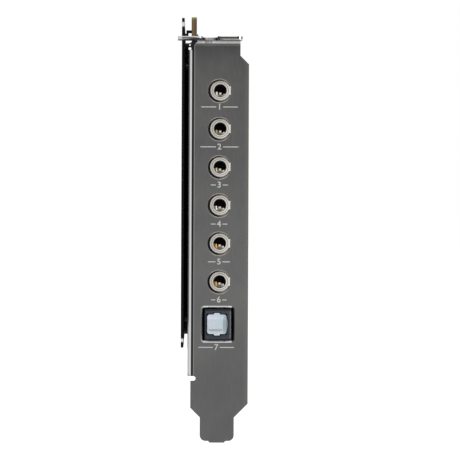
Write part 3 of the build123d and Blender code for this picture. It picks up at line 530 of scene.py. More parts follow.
def plug_moulding():
    """Pale blue-grey dust plug, painted darker and greener to the right as shade where its side turns away,
    with painted light on its left edge and low down, a painted highlight on the grip's lower step and painted
    shade along the grip's edges.
    """
    finish = Finish("plug_moulding", subsurface_weight=0.1, subsurface_scale=0.001)
    x, z = finish.x, finish.z
    pits = finish.noise(2, 3)
    grip = x.between(-0.1, 4.3, 0.1)
    # Painted shade along the grip's edges
    grip_edge_shade = z.near(port_z + 1.42, 0.05, 0.05) * grip
    grip_edge_shade = grip_edge_shade.either(x.near(4.23, 0.05, 0.05) * z.between(port_z - 1.6, port_z + 1.45, 0.1))
    # Painted light and shade: darker to the right, lighter at the left edge and low down, and a painted
    # highlight on the grip's lower step
    tone = finish.layered(
        finish.mix(x.above(2.6, 2.4), (222, 230, 242), (212, 229, 236)),
        (x.below(0.1, 0.3) * 0.7, (234, 241, 250)),
        (z.below(port_z - 1.7, 0.2) * 0.6, (232, 244, 250)),
        (z.near(port_z - 1.55, 0.16, 0.1) * grip, (250, 252, 255)),
        (x.above(4.3, 0.15), (190, 205, 211)),
        (x.above(5.0, 0.3), (148, 163, 168)),
        (grip_edge_shade * 0.55, (150, 160, 172)),
    )
    finish.set(base_color=tone, roughness=0.38 + (pits - 0.5) * 0.12)
    return finish.relief(pits, 0.012, 0.4)


def solder_mask(name="solder_mask", lift=0):
    """Black mask over copper, brown laminate where the board is cut, with painted shade on the cut front edge
    below the tab.
    """
    finish = Finish(name, coat_weight=0.25, coat_roughness=0.22, specular_ior_level=0.3)
    x, y, z = finish.x, finish.y, finish.z
    cut = abs(finish.facing_x).below(0.6, 0.1)
    weave = finish.noise(1.4, 3, (1, 0.25, 1)) * 0.5 + finish.noise(1.4, 3, (1, 1, 0.25)) * 0.5
    across = (x - board_back) / (board_face - board_back)
    plies = (x * 16).math("SINE") * 0.5 + 0.5
    laminate = finish.layered(
        finish.mix(plies * 0.5 + finish.noise(3, 2) * 0.5, (98, 74, 52), (124, 96, 69)),
        (abs(across - 0.5).above(0.38, 0.1) * 0.7, (84, 62, 44)),
        (across.near(0.68, 0.12, 0.12) * 0.5, (76, 50, 34)),
        (across.near(0.34, 0.14, 0.12) * 0.5, (142, 114, 70)),
        (z.above(6.6, 0.3) * 0.9, (122, 134, 84)),
        # Painted shade: the front cut edge near-black below the tab
        (y.below(board_front + 0.5, 0.2) * z.below(0.4, 0.3), (10, 10, 11)),
    )
    mask = finish.mix(weave, (17 + lift, 18 + lift, 20 + lift), (25 + lift, 26 + lift, 29 + lift))
    tone = finish.mix(cut, mask, laminate)
    finish.set(base_color=tone, roughness=0.42 + cut * 0.35 + (weave - 0.5) * 0.1)
    return finish.relief(weave, 0.012, 0.5)


def powder_coat():
    """Black powder coat with a fine orange peel and two bare marks on the front edge."""
    finish = Finish("black_powder_coat", specular_ior_level=0.08)
    peel = finish.noise(3.2, 3)
    marks = finish.z.between(4.4, 5.7, 0.4).either(finish.z.between(-89.4, -88.4, 0.4))
    bare = marks * finish.y.below(low("shield_backplate").y + 0.5, 0.2)
    tone = finish.mix(peel, (11, 11, 12), (18, 18, 20))
    tone = finish.mix(bare, tone, (205, 204, 200))
    finish.set(base_color=tone, metallic=bare, roughness=0.55 - bare * 0.2)
    return finish.relief(peel, 0.03, 0.45)


def plated_steel(name, shade, light):
    """Plated metal with a soft haze."""
    finish = Finish(name, metallic=1.0)
    haze = finish.noise(1.1, 3)
    finish.set(base_color=finish.mix(haze, shade, light), roughness=0.24 + haze * 0.18)
    return finish.relief(finish.noise(6, 2), 0.004, 0.4)


LEAD_REACH = 1.05
DOT_INSET = 0.9
DOT_RADIUS = 0.42
REGULATOR_TAB = 1.0
REGULATOR_LEADS = 2.7


def epoxy_and_tin(finish, sand):
    """Colours of the black epoxy and of its tinned leads."""
    epoxy = finish.mix(sand, (24, 24, 25), (38, 38, 39))
    tin = finish.mix(finish.noise(2, 2), (176, 178, 180), (206, 207, 208))
    return epoxy, tin


def package(node):
    """Black epoxy moulding whose leads, outside the body, are tinned."""
    finish = Finish(f"{node}_package", specular_ior_level=0.35)
    size, centres = size_and_centres(node)
    centre = middle(node)
    square = abs(size.y - size.z) < 0.5 and size.y > 10
    if len(centres) > 1:
        across_z = finish.z.folded(centres[0].z, centres[1].z - centres[0].z)
    else:
        across_z = finish.z - centre.z
    leads = abs(finish.y - centre.y).above(size.y / 2 - LEAD_REACH, 0.04)
    if square:
        leads = leads.either(abs(across_z).above(size.z / 2 - LEAD_REACH, 0.04))
    sand = finish.noise(6, 3)
    epoxy, tin = epoxy_and_tin(finish, sand)
    dot_y = finish.y - (centre.y - size.y / 2 + LEAD_REACH + DOT_INSET)
    dot_z = across_z - (size.z / 2 - DOT_INSET - (LEAD_REACH if square else 0))
    dot = dot_y.length_with(dot_z).below(DOT_RADIUS, 0.06)
    tone = finish.layered(epoxy, (dot * 0.6, (10, 10, 10)), (leads, tin))
    finish.set(base_color=tone, metallic=leads, roughness=0.58 - leads * 0.28)
    return finish.relief(sand * 0.3 - dot * 0.7 + 0.7, 0.05, 0.6)


def regulator_case():
    """Epoxy of the voltage regulators, with a tinned tab and tinned leads."""
    finish = Finish("regulator_case", specular_ior_level=0.35)
    start, end = solids("voltage_regulators")[0]
    bare = finish.y.below(start.y + REGULATOR_TAB, 0.05).either(finish.y.above(end.y - REGULATOR_LEADS, 0.05))
    sand = finish.noise(6, 3)
    epoxy, tin = epoxy_and_tin(finish, sand)
    finish.set(base_color=finish.mix(bare, epoxy, tin), metallic=bare, roughness=0.58 - bare * 0.28)
    return finish.relief(sand, 0.02, 0.5)


def dressed(node, finish):
    """Gives a CAD node its finish."""
    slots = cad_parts[node].material_slots
    if not slots:
        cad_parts[node].data.materials.append(finish.material)
    for place in slots:
        place.material = finish.material


black_plastic = moulded("black_moulding", (14, 14, 15), (22, 22, 24), specular_ior_level=0.25)
relay_plastic = moulded("relay_moulding", (214, 210, 198), (226, 222, 212), 0.42)
film_plastic = moulded("film_case", (150, 34, 26), (172, 44, 33), 0.35)
ferrite = moulded("ferrite", (58, 58, 60), (74, 73, 74), 0.6, 3.0, specular_ior_level=0.3)
ferrite_drum = moulded("ferrite_drum", (66, 65, 66), (82, 80, 80), 0.45, 3.0)
gap_glue = moulded("gap_glue", (126, 112, 84), (150, 134, 102), 0.3, 2.0)
ceramic = moulded("chip_ceramic", (206, 204, 198), (222, 220, 214), 0.5)
resistor_film = moulded("resistor_film", (24, 24, 26), (36, 36, 38), 0.3)
capacitor_ceramic = moulded("capacitor_ceramic", (138, 108, 76), (160, 130, 96), 0.4)
print_white = moulded("silkscreen_white", (204, 204, 198), (222, 221, 215), 0.6, 8.0)
label_print = moulded("label_print", (204, 203, 202), (222, 221, 220), 0.5, 8.0)
can_print = moulded("can_print", (22, 22, 24), (34, 34, 36), 0.4)
gold = gilt("gilt_pin")
can_metal = plated_steel("drawn_aluminium", (196, 197, 199), (216, 217, 218))
tin_solder = plated_steel("bright_solder", (180, 182, 185), (208, 209, 211))
trace_mask = solder_mask("mask_over_copper", 11)
nickel_collar = turned_nickel()
jack_plastic = jack_moulding()
springs = spring_leaf()

plain = {
    "bracket": satin_nickel_sheet(),
    "circuit_board": solder_mask(),
    "edge_contacts": gilt("gilt_contact"),
    "shield_backplate": powder_coat(),
    "backplate_standoffs": standoff_zinc(),
    "backplate_screws": plated_steel("black_zinc", (26, 26, 27), (40, 40, 42)),
    "bracket_screws": plated_steel("plated_steel", (170, 170, 168), (200, 199, 196)),
    "optical_housing": receptacle(),
    "optical_emitter": moulded("emitter_block", (70, 12, 14), (96, 20, 20), 0.2),
    "optical_pins": tin_solder,
    "optical_dust_plug": plug_moulding(),
    "power_inductors": ferrite,
    "voltage_regulators": regulator_case(),
    "crystals": plated_steel("crystal_can", (188, 188, 184), (212, 211, 207)),
}
for node in ("coupling_capacitor_bases", "filter_capacitor_bases", "front_audio_header", "digital_header"):
    plain[node] = black_plastic
for number in JACKS:
    plain[f"jack_housing_{number}"] = jack_plastic
    plain[f"jack_collar_{number}"] = nickel_collar
    plain[f"jack_contacts_{number}"] = springs
amplifiers = [f"output_amplifier_{number}" for number in JACKS]
large_packages = [
    "headphone_amplifier", "memory_chip", "output_converter", "input_converter", "audio_processor",
]
for node in large_packages + amplifiers:
    plain[node] = package(node)
relays = ["mute_relay_1", "mute_relay_2"]
for node in relays:
    plain[node] = relay_plastic
for node, finish in plain.items():
    dressed(node, finish)


# Modelling helpers: pieces are shaped in millimetres at the origin, then placed and scaled
def begin(kind, name, **settings):
    """Adds a primitive with nothing else selected."""
    bpy.ops.object.select_all(action="DESELECT")
    getattr(bpy.ops.mesh, f"primitive_{kind}_add")(**settings)
    bpy.context.object.name = name
    return bpy.context.object


def block(name, length, width, height, rise=0.0):
    """A cuboid that stands at a height above the face where its piece is placed."""
    piece = begin("cube", name, size=1, location=(0, 0, rise + height / 2))
    piece.scale = (length, width, height)
    bpy.ops.object.transform_apply(location=True, scale=True)
    return piece


def sheet_of(name, length, width):
    """A flat rectangle."""
    piece = begin("plane", name, size=1)
    piece.scale = (length, width, 1)
    bpy.ops.object.transform_apply(scale=True)
    return piece


@contextlib.contextmanager
def editing(piece, kind="FACE"):
    """Edit mode on one piece, all of it selected."""
    bpy.context.view_layer.objects.active = piece
    bpy.ops.object.mode_set(mode="EDIT")
    take_all(kind)
    yield
    bpy.ops.object.mode_set(mode="OBJECT")


def take_all(kind="FACE"):
    """Selects the whole piece, as points, edges or faces."""
    bpy.ops.mesh.select_mode(type=kind)
    bpy.ops.mesh.select_all(action="SELECT")


def choose(piece, test):
    """Selects the faces whose centre and normal pass the test."""
    bpy.ops.mesh.select_all(action="DESELECT")
    mesh = bmesh.from_edit_mesh(piece.data)
    for face in mesh.faces:
        face.select_set(bool(test(face.calc_center_median(), face.normal)))
    bmesh.update_edit_mesh(piece.data)


def cut_at(axis, place):
    """Cuts all that is selected along a plane across one axis."""
    side = [0, 0, 0]
    side[axis] = 1
    spot = [0, 0, 0]
    spot[axis] = place
    bpy.ops.mesh.bisect(plane_co=spot, plane_no=side)


def rise_by(height, scale=1.0):
    """Extrudes the selection upwards and scales its end about the z axis."""
    bpy.ops.mesh.extrude_region_move(TRANSFORM_OT_translate={"value": (0, 0, height)})
    if scale != 1.0:
        bpy.ops.transform.resize(value=(scale, scale, 1), center_override=(0, 0, 0))


def rounded(piece, width, segments=2, angle=35):
    """Rounds the piece's sharp edges."""
    bpy.context.view_layer.objects.active = piece
    bevel = piece.modifiers.new("rounding", "BEVEL")
    bevel.width = width
    bevel.segments = segments
    bevel.limit_method = "ANGLE"
    bevel.angle_limit = math.radians(angle)
    bpy.ops.object.modifier_apply(modifier=bevel.name)
    return piece


def turned(name, vertices, profile):
    """Turned solid about z, from the radius and height of each ring of its outline."""
    radius, height = profile[0]
    piece = begin("circle", name, vertices=vertices, radius=radius, fill_type="NGON", location=(0, 0, height))
    bpy.ops.object.transform_apply(location=True)
    with editing(piece):
        for next_radius, next_height in profile[1:]:
            rise_by(next_height - height, next_radius / radius)
            radius, height = next_radius, next_height
        take_all()
        bpy.ops.mesh.normals_make_consistent(inside=False)
    return piece


def coated(piece, finishes, chooser=None):
    """Gives a piece its materials, and each face the one that the chooser names."""
    for finish in finishes:
        piece.data.materials.append(finish.material)
    if chooser:
        for face in piece.data.polygons:
            face.material_index = chooser(face.center, face.normal)
    return piece


def placed(rows, x, y, z):
    """Place with the given turn."""
    return Matrix.Translation((x, y, z)) @ Matrix(rows).to_4x4()


def on_board(y, z, height=0.0):
    """Place on the component face: local x along the card, y up it and z off it."""
    return placed(((0, 0, 1), (1, 0, 0), (0, 1, 0)), board_face + height, y, z)


def on_solder_side(y, z):
    """Place on the solder face: local x along the card, y down it and z off it."""
    return placed(((0, 0, -1), (1, 0, 0), (0, -1, 0)), board_back, y, z)


def on_plate_face(x, z):
    """Place on the bracket's outer face: local x to the right, y up and z off it."""
    return placed(((1, 0, 0), (0, 0, -1), (0, 1, 0)), x, plate_y, z)


def board_places(node, height=0.0):
    """Size of a CAD node's first solid, and the place of each of its solids on the component face."""
    size, centres = size_and_centres(node)
    return size, [on_board(centre.y, centre.z, height) for centre in centres]


def spread(model, places):
    """Copies a model, each copy with its own mesh, to the given places and takes the model away."""
    copies = []
    for place in places:
        copy = model.copy()
        copy.data = model.data.copy()
        bpy.context.collection.objects.link(copy)
        copy.matrix_world = Matrix.Scale(MM, 4) @ place
        copies.append(copy)
    bpy.data.objects.remove(model)
    return copies


def joined(name, pieces, replaces=(), angle=35):
    """Joins copies to one piece of the card, smooths it and lets it ride on the card."""
    bpy.context.view_layer.update()
    bpy.ops.object.select_all(action="DESELECT")
    for piece in pieces:
        piece.select_set(True)
    bpy.context.view_layer.objects.active = pieces[0]
    if len(pieces) > 1:
        bpy.ops.object.join()
    bpy.ops.object.transform_apply(location=True, rotation=True, scale=True)
    bpy.ops.object.shade_smooth_by_angle(angle=math.radians(angle))
    whole = bpy.context.object
    whole.name = name
    whole.data.name = name
    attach(whole, "root")
    if replaces:
        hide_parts(*replaces)
    return whole


def printed_bar(name, finish, length, width, thickness, corner, segments):
    """Printed bar with rounded or cut corners."""
    bar = sheet_of(name, length, width)
    with editing(bar, "VERT"):
        bpy.ops.mesh.bevel(offset=corner, segments=segments, affect="VERTICES")
        take_all()
        rise_by(thickness)
    return coated(bar, [finish])


# Printed numbers under the jacks, each between two thin rules as wide as the printed row
LABEL_HEIGHT = 1.75
LABEL_RISE = 0.02
LABEL_GAP = 1.0
RULE_WIDTH = 0.28
STROKE_GAIN = 0.045
LETTER_SHARE = 0.72
LABEL_ROWS = (
    # number, place to the right and up, width of the row
    (1, 2.9, -19.55, 10.9),
    (2, 2.9, -31.4, 11.4),
    (3, 2.9, -42.7, 5.2),
    (4, 2.9, -54.3, 5.0),
    (5, 2.9, -65.5, 6.6),
    (6, 2.9, -76.8, 4.6),
    (7, 2.2, -90.9, 10.6),
)


def printed_number(number):
    """One printed number, made from the plain built-in letters."""
    bpy.ops.object.select_all(action="DESELECT")
    bpy.ops.object.text_add()
    mark = bpy.context.object
    mark.data.body = str(number)
    mark.data.size = LABEL_HEIGHT / LETTER_SHARE
    mark.data.align_x = "CENTER"
    mark.data.align_y = "CENTER"
    mark.data.extrude = LABEL_RISE / 2
    mark.data.offset = STROKE_GAIN
    mark.data.resolution_u = 5
    bpy.ops.object.convert(target="MESH")
    return coated(bpy.context.object, [label_print])


label_pieces = []
for number, x, z, width in LABEL_ROWS:
    raised = on_plate_face(x, z) @ Matrix.Translation((0, 0, LABEL_RISE / 2))
    label_pieces += spread(printed_number(number), [raised])
    rule_length = width / 2 - LABEL_GAP
    rule_centre = LABEL_GAP + rule_length / 2
    rule = printed_bar("printed_rule", label_print, rule_length, RULE_WIDTH, LABEL_RISE, RULE_WIDTH * 0.45, 3)
    label_pieces += spread(rule, [on_plate_face(x + side * rule_centre, z) for side in (-1, 1)])
joined("socket_numbers", label_pieces)


# Electrolytic cans, with a rolled bead, a rounded rim, vent scores and a polarity print
def electrolytic_can(name, radius, height, vertices):
    """Drawn can whose top is dished, scored and printed on one side."""
    profile = (
        (radius * 0.93, 0.0),
        (radius, 0.12),
        (radius, height * 0.16),
        (radius * 0.965, height * 0.19),
        (radius * 0.935, height * 0.22),
        (radius * 0.935, height * 0.25),
        (radius * 0.965, height * 0.28),
        (radius, height * 0.31),
        (radius, height - 0.42),
        (radius - 0.07, height - 0.18),
        (radius - 0.22, height - 0.04),
        (radius - 0.42, height),
        (radius - 0.62, height),
        (radius - 0.7, height - 0.1),
    )
    can = turned(name, vertices, profile)
    score, score_depth, print_edge = 0.07, 0.07, -0.42 * radius

    def on_top(spot, normal):
        return spot.z > height - 0.15 and normal.z > 0.9

    def in_score(spot, normal):
        inside = on_top(spot, normal) and spot.xy.length < radius * 0.93 and spot.x > print_edge
        return inside and min(abs(spot.x), abs(spot.y)) < score * 0.9

    with editing(can):
        for axis, place in ((0, -score), (0, score), (1, -score), (1, score), (0, print_edge)):
            choose(can, on_top)
            cut_at(axis, place)
        choose(can, in_score)
        rise_by(-score_depth)
    return coated(
        can, [can_metal, can_print],
        lambda spot, normal: int(spot.z > height - 0.3 and spot.x < print_edge and normal.z > 0.9),
    )


for node, vertices in (("coupling_capacitor_cans", 40), ("filter_capacitor_cans", 48)):
    size, places = board_places(node, low(node).x - board_face)
    model = electrolytic_can(node, size.z / 2, size.x, vertices)
    joined(f"{node}_drawn", spread(model, places), [node])


# Chip resistors and capacitors, with plated end caps on tinned pads
CAP_LENGTH = 0.27
PLATING = 0.02
PAD_HEIGHT = 0.03
PAD_LENGTH = 0.62
PAD_MARGIN = 0.06
BOARD_FRONT_STRIP = 20.0


def chip(name, finishes, size, plated=True):
    """One chip, its caps standing a little proud, on the height of its pads."""
    cap_start = size.y / 2 - CAP_LENGTH
    body = block(name, size.y - 2 * PLATING, size.z - 2 * PLATING, size.x - PAD_HEIGHT - PLATING, PAD_HEIGHT)
    if plated:
        with editing(body):
            for place in (-cap_start, cap_start):
                take_all()
                cut_at(0, place)
            choose(body, lambda spot, normal: abs(spot.x) > cap_start)
            bpy.ops.mesh.inset(thickness=0.012, depth=PLATING)
    rounded(body, 0.03, 1)

    def which(spot, normal):
        if plated and abs(spot.x) > cap_start - 0.005:
            return 2
        return int(normal.xy.length_squared > 0.5)

    return coated(body, finishes, which)


def pad(name, length, width):
    """Tinned pad whose solder rises towards its middle."""
    piece = sheet_of(name, length, width)
    with editing(piece):
        rise_by(PAD_HEIGHT)
        bpy.ops.mesh.inset(thickness=0.05, depth=0.02)
    return coated(piece, [tin_solder])


for node, top, side in (
    ("chip_resistors", resistor_film, ceramic),
    ("chip_capacitors", capacitor_ceramic, capacitor_ceramic),
):
    size, centres = size_and_centres(node)
    plated = [centre for centre in centres if centre.y > BOARD_FRONT_STRIP]
    # Chips in the front strip are all black and unplated, as painted shade near the bracket
    dark = [centre for centre in centres if centre.y <= BOARD_FRONT_STRIP]
    pieces = spread(chip(node, [top, side, tin_solder], size), [on_board(spot.y, spot.z) for spot in plated])
    if dark:
        model = chip(f"{node}_front", [resistor_film] * 3, size, False)
        pieces += spread(model, [on_board(spot.y, spot.z) for spot in dark])
    ends = [on_board(spot.y + end * size.y / 2, spot.z) for spot in plated for end in (-1, 1)]
    pieces += spread(pad(f"{node}_pad", PAD_LENGTH, size.z + 2 * PAD_MARGIN), ends)
    joined(f"{node}_plated", pieces, [node])


# Header pins with tapered ends
PIN_TAPER = 0.5
PIN_TIP = 0.55
for node in ("front_audio_pins", "digital_header_pins"):
    size, places = board_places(node, board_back - board_face)
    pin = block(node, size.y, size.z, size.x)
    with editing(pin):
        for place in (PIN_TAPER, size.x - PIN_TAPER):
            take_all()
            cut_at(2, place)
        choose(pin, lambda spot, normal: abs(normal.z) > 0.9)
        bpy.ops.transform.resize(value=(PIN_TIP, PIN_TIP, 1), center_override=(0, 0, 0))
    coated(rounded(pin, 0.05, 2, 25), [gold])
    joined(f"{node}_tapered", spread(pin, places), [node])


# Solder joints, each a concave cone of solder with the cut end of its pin
joint_profile = (
    # radius and height, as shares of the joint's width and height
    (0.5, 0), (0.44, 0.06), (0.33, 0.18), (0.25, 0.36), (0.21, 0.6), (0.17, 0.68), (0.155, 0.96), (0.12, 1),
)
joint = coated(turned("solder_joint", 12, joint_profile), [tin_solder])
boxes = solids("solder_joints")
joint_height = boxes[0][1].x - boxes[0][0].x
places = []
for start, end in boxes:
    size, centre = end - start, (start + end) / 2
    places.append(on_solder_side(centre.y, centre.z) @ Matrix.Diagonal((size.y, size.z, joint_height, 1)))
joined("solder_joints_round", spread(joint, places), ["solder_joints"], 50)


# Film capacitors, moulded boxes with rounded edges and a sunken top
size, places = board_places("film_capacitors")
film = block("film_capacitor", size.y, size.z, size.x)
with editing(film):
    choose(film, lambda spot, normal: normal.z > 0.9)
    bpy.ops.mesh.inset(thickness=0.45, depth=0)
    rise_by(-0.08)
coated(rounded(film, 0.22, 3), [film_plastic])
joined("film_capacitors_rounded", spread(film, places), ["film_capacitors"])


# Drum cores and their glued gaps on the shielded inductors
_, places = board_places("power_inductors", high("power_inductors").x - board_face)
drum = turned("inductor_drum", 40, ((2.55, -0.05), (2.55, 0.02), (2.48, 0.05), (0.9, 0.05), (0.84, -0.02)))
joined("inductor_drums", spread(coated(drum, [ferrite_drum]), places))
gap = turned("inductor_gap", 40, ((2.95, -0.05), (2.95, 0.012), (2.9, 0.016)))
joined("inductor_gaps", spread(coated(gap, [gap_glue]), places))


# Copper under the mask: traces swept from an edge that keeps its direction, and via rings
COPPER_RISE = 0.045
VIA_RADIUS = 0.42
SIGNAL, POWER = 0.28, 1.4
RISING, FALLING = (1, 1), (1, -1)


def trace(points, width, across):
    """Flat raised ribbon through points along and up the card."""
    ribbon = begin("plane", "trace", size=1)
    with editing(ribbon, "VERT"):
        bpy.ops.mesh.select_all(action="DESELECT")
        mesh = bmesh.from_edit_mesh(ribbon.data)
        for vertex in mesh.verts:
            vertex.select_set(vertex.co.y > 0)
        bmesh.update_edit_mesh(ribbon.data)
        bpy.ops.mesh.delete(type="VERT")
    reach = Vector((*across, 0)).normalized() * width / 2
    start = Vector((*points[0], 0))
    ribbon.data.vertices[0].co = start - reach
    ribbon.data.vertices[1].co = start + reach
    with editing(ribbon, "EDGE"):
        for here, there in zip(points, points[1:]):
            step = (there[0] - here[0], there[1] - here[1], 0)
            bpy.ops.mesh.extrude_region_move(TRANSFORM_OT_translate={"value": step})
        take_all()
        rise_by(COPPER_RISE)
        take_all()
        bpy.ops.mesh.normals_make_consistent(inside=False)
    return coated(ribbon, [trace_mask])


def via_ring():
    """Annular ring under the mask, dished at its plugged hole."""
    wall = (VIA_RADIUS, 0), (VIA_RADIUS - 0.05, COPPER_RISE)
    dish = (VIA_RADIUS / 2, COPPER_RISE), (VIA_RADIUS / 2.6, 0.008)
    return coated(turned("via_ring", 12, wall + dish), [trace_mask])


buses = (
    # points along and up the card, copies, step between them, width, direction of the end edge
    (((84, -51.4), (84, -49.5), (80, -45.5), (70.4, -45.5)), 9, (0.8, 0.8), SIGNAL, RISING),
    (((97, -51.4), (97, -40), (86.5, -29.5), (70.4, -29.5)), 4, (-0.8, -0.8), SIGNAL, RISING),
    (((83, -68.6), (83, -78), (79, -82), (79, -90.6)), 16, (0.8, 0), SIGNAL, FALLING),
    (((98.6, -66.8), (101, -66.8), (103, -68.8), (103, -76.5), (105, -78.5), (108.4, -78.5)),
     5, (-0.3, -0.7), SIGNAL, RISING),
    (((98.6, -62), (101.6, -62)), 2, (0, 4), SIGNAL, FALLING),
    (((81.4, -55), (75, -55), (71, -51), (58.5, -51), (56, -48.5), (53.4, -48.5)),
     6, (-0.8, 0.8), SIGNAL, FALLING),
    (((90.9, -0.9), (90.9, -13), (83, -20.9), (83, -30)), 4, (2.54, 0), SIGNAL, FALLING),
    (((128.3, 0.6), (128.3, -4), (124, -8.3), (110, -8.3), (104, -14.3), (104, -34)),
     4, (0.8, -0.8), SIGNAL, FALLING),
    (((141.6, -16), (138.4, -16)), 3, (0, -14), POWER, RISING),
    (((129.8, -18), (123.8, -18)), 2, (0, -15), POWER, RISING),
    (((133.5, -37.4), (133.5, -52), (139.5, -58), (142.4, -58)), 2, (-1.9, -1.9), POWER, RISING),
    (((118, -49.6), (118, -58), (126, -66), (142.4, -66)), 2, (-1.9, -1.9), POWER, RISING),
    (((148, -52), (160, -52), (166, -58), (166, -84)), 3, (1.9, 1.9), POWER, RISING),
    (((154, -14), (163, -14), (168, -19), (168, -47)), 2, (1.4, 1.4), POWER, RISING),
)
copper = []
ring_places = []


def lay(points, count, step, width, across, ring_ends):
    """Lays copies of a trace side by side, with a via ring at each of the ends named."""
    shifts = [on_board(step[0] * number, step[1] * number) for number in range(count)]
    copper.extend(spread(trace(points, width, across), shifts))
    for shift in shifts:
        for end in ring_ends:
            ring_places.append(shift @ Matrix.Translation((*points[end], 0)))


for *run, width, across in buses:
    lay(*run, width, across, (0, -1) if width == SIGNAL else ())
for axis in jack_axis:
    lane = axis.z - jack_pitch / 2
    lay(((21.6, lane + 1.2), (43.6, lane + 1.2), (45.2, lane + 2.8), (45.2, lane + 3.8)),
        3, (0, -1.0), SIGNAL, FALLING, (0,))
    lay(((53.4, axis.z - 1.9), (57.4, axis.z - 1.9)), 4, (0, 1.27), SIGNAL, FALLING, (-1,))

# Stubs from the edge contacts to their vias, on both sides
STUB_LENGTH = 1.4
contact_top = high("edge_contacts").z
stub_end = contact_top + STUB_LENGTH
face_stubs, back_stubs = [], []
for start, end in solids("edge_contacts"):
    y = (start.y + end.y) / 2
    on_face = start.x > middle("circuit_board").x
    (face_stubs if on_face else back_stubs).append(y)
    ring_places.append((on_board if on_face else on_solder_side)(y, stub_end))
face_run = ((0, contact_top), (0, stub_end))
copper += spread(trace(face_run, SIGNAL, FALLING), [on_board(y, 0) for y in face_stubs])
back_run = ((0, contact_top - STUB_LENGTH), (0, contact_top))
copper += spread(trace(back_run, SIGNAL, FALLING), [on_solder_side(y, 2 * contact_top) for y in back_stubs])

# Rows of ground vias over the connector, each second row moved by half a step
VIA_ROWS, VIAS_IN_ROW = 7, 9
VIA_STEP_ALONG, VIA_STEP_UP = 5.4, 1.9
FIRST_VIA = (122.0, -88.0)
for row in range(VIA_ROWS):
    for number in range(VIAS_IN_ROW):
        y = FIRST_VIA[0] + (number + row % 2 / 2) * VIA_STEP_ALONG
        ring_places.append(on_board(y, FIRST_VIA[1] + row * VIA_STEP_UP))
copper += spread(via_ring(), ring_places)
joined("masked_copper", copper, angle=30)


# Silkscreen: an outline and a bar by each part, as thin raised print
PRINT_RISE = 0.016
PRINT_STROKE = 0.16
OUTLINE_MARGIN = 0.45
BAR_LENGTH, BAR_WIDTH = 0.9, 0.35
BAR_SHIFT = 0.2
BAR_RISE = 0.45


def outline(width, height):
    """Printed rectangle drawn as a frame."""
    frame_piece = sheet_of("outline", width, height)
    with editing(frame_piece):
        bpy.ops.mesh.inset(thickness=PRINT_STROKE, depth=0)
        bpy.ops.mesh.delete(type="FACE")
        take_all()
        rise_by(PRINT_RISE)
    return coated(frame_piece, [print_white])


screen = []
for node in [
    "coupling_capacitor_bases", "filter_capacitor_bases", "film_capacitors", "power_inductors",
    "voltage_regulators", "crystals", "front_audio_header", "digital_header",
] + large_packages + relays + amplifiers:
    size, places = board_places(node)
    screen += spread(outline(size.y + 2 * OUTLINE_MARGIN, size.z + 2 * OUTLINE_MARGIN), places)
    mark = printed_bar("printed_bar", print_white, BAR_LENGTH, BAR_WIDTH, PRINT_RISE, BAR_WIDTH * 0.3, 1)
    corner = Matrix.Translation((BAR_SHIFT - size.y / 2, size.z / 2 + OUTLINE_MARGIN + BAR_RISE, 0))
    screen += spread(mark, [place @ corner for place in places])
joined("silkscreen", screen)


# Studio: a white world and floor for the eye, an even light for the card
SKY_LEVEL = 0.62
FLOOR_GAP = 0.0002
FLOOR_RADIUS = 12.0
FLOOR_GREY = 0.3
FLOOR_GLOW = 0.88


def empty_tree(owner):
    """Node tree of a world or a material, with nothing in it."""
    owner.use_nodes = True
    owner.node_tree.nodes.clear()
    return owner.node_tree


def plain_shader(tree, kind, grey):
    """Shader node of one grey, where 1 is white."""
    made = tree.nodes.new(kind)
    made.inputs["Color"].default_value = (grey, grey, grey, 1)
    return made


def plug_in(tree, kind, *sources):
    """Adds a node and links the sources to its first inputs."""
    made = tree.nodes.new(kind)
    for place, source in enumerate(sources):
        tree.links.new(source, made.inputs[place])
    return made


def light_path_mask(tree):
    """1 for what the camera sees, in itself or through gloss and glass."""
    path = tree.nodes.new("ShaderNodeLightPath")
    total = path.outputs["Is Camera Ray"]
    for name in ("Is Glossy Ray", "Is Transmission Ray"):
        add = plug_in(tree, "ShaderNodeMath", total, path.outputs[name])
        add.operation = "MAXIMUM"
        total = add.outputs[0]
    return total


world = bpy.data.worlds.new("studio")
bpy.context.scene.world = world
tree = empty_tree(world)
ambient = plain_shader(tree, "ShaderNodeBackground", 1)
ambient.inputs["Strength"].default_value = SKY_LEVEL
seen = plain_shader(tree, "ShaderNodeBackground", 1)
blend = plug_in(tree, "ShaderNodeMixShader", light_path_mask(tree), ambient.outputs[0], seen.outputs[0])
plug_in(tree, "ShaderNodeOutputWorld", blend.outputs[0])

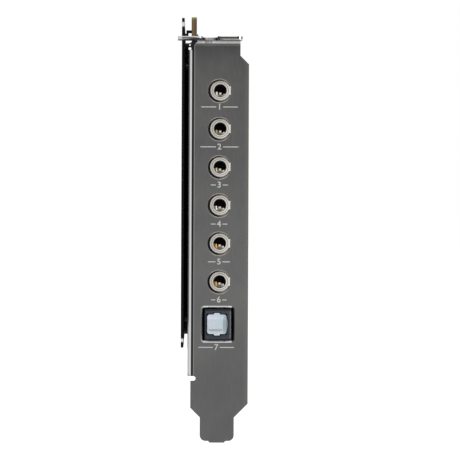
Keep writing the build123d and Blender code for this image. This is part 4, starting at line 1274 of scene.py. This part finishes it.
floor_place = (0, 0, cad_low.z - FLOOR_GAP)
floor = begin("circle", "floor", vertices=96, radius=FLOOR_RADIUS, fill_type="NGON", location=floor_place)
floor_finish = bpy.data.materials.new("floor_white")
tree = empty_tree(floor_finish)
matt = plain_shader(tree, "ShaderNodeBsdfDiffuse", FLOOR_GREY)
glow = plain_shader(tree, "ShaderNodeEmission", 1)
strength = plug_in(tree, "ShaderNodeMath", light_path_mask(tree))
strength.operation = "MULTIPLY"
strength.inputs[1].default_value = FLOOR_GLOW
tree.links.new(strength.outputs[0], glow.inputs["Strength"])
lit_floor = plug_in(tree, "ShaderNodeAddShader", matt.outputs[0], glow.outputs[0])
plug_in(tree, "ShaderNodeOutputMaterial", lit_floor.outputs[0])
floor.data.materials.append(floor_finish)

card_centre = (cad_low + cad_high) / 2
LAMPS = (
    # name, place in metres, side of the square, watts
    ("key_lamp", (-0.75, -0.9, 0.75), 0.7, 5.0),
    ("fill_lamp", (0.95, -0.7, 0.35), 0.8, 4.0),
    ("side_lamp", (1.1, 0.6, 0.6), 0.8, 4.5),
    ("back_lamp", (-0.9, 0.9, 0.6), 0.8, 4.5),
)
for name, place, side, watts in LAMPS:
    light = bpy.data.lights.new(name, "AREA")
    light.shape = "SQUARE"
    light.size = side
    light.energy = watts
    light.use_shadow = True
    lamp = bpy.data.objects.new(name, light)
    lamp.location = place
    lamp.rotation_euler = (card_centre - Vector(place)).to_track_quat("-Z", "Y").to_euler()
    bpy.context.collection.objects.link(lamp)
    lamp.visible_camera = False

# Camera, at the photograph's distance from the bracket, in millimetres, turned a little to its right
CAMERA_DISTANCE = 1015.0
PIXELS_PER_MM = 3.37
PICTURE_SIDE = 460
CAMERA_X = -4.55
AIM_X = 6.15
AIM_Z = -56.05
LEAN = 0.0042
SENSOR = 36.0
camera_data = bpy.data.cameras.new("camera")
camera = bpy.data.objects.new("camera", camera_data)
bpy.context.collection.objects.link(camera)
eye = Vector((CAMERA_X, plate_y - CAMERA_DISTANCE, AIM_Z)) * MM
aim = Vector((AIM_X, plate_y, AIM_Z)) * MM
turn = (aim - eye).to_track_quat("-Z", "Y").to_matrix()
camera.matrix_world = Matrix.Translation(eye) @ (turn @ Matrix.Rotation(LEAN, 3, "Z")).to_4x4()
camera_data.sensor_width = SENSOR
camera_data.lens = SENSOR * (aim - eye).length / MM * PIXELS_PER_MM / PICTURE_SIDE
camera_data.clip_start = 0.05
camera_data.clip_end = 50
bpy.context.scene.camera = camera
bpy.context.scene.view_settings.view_transform = "Standard"
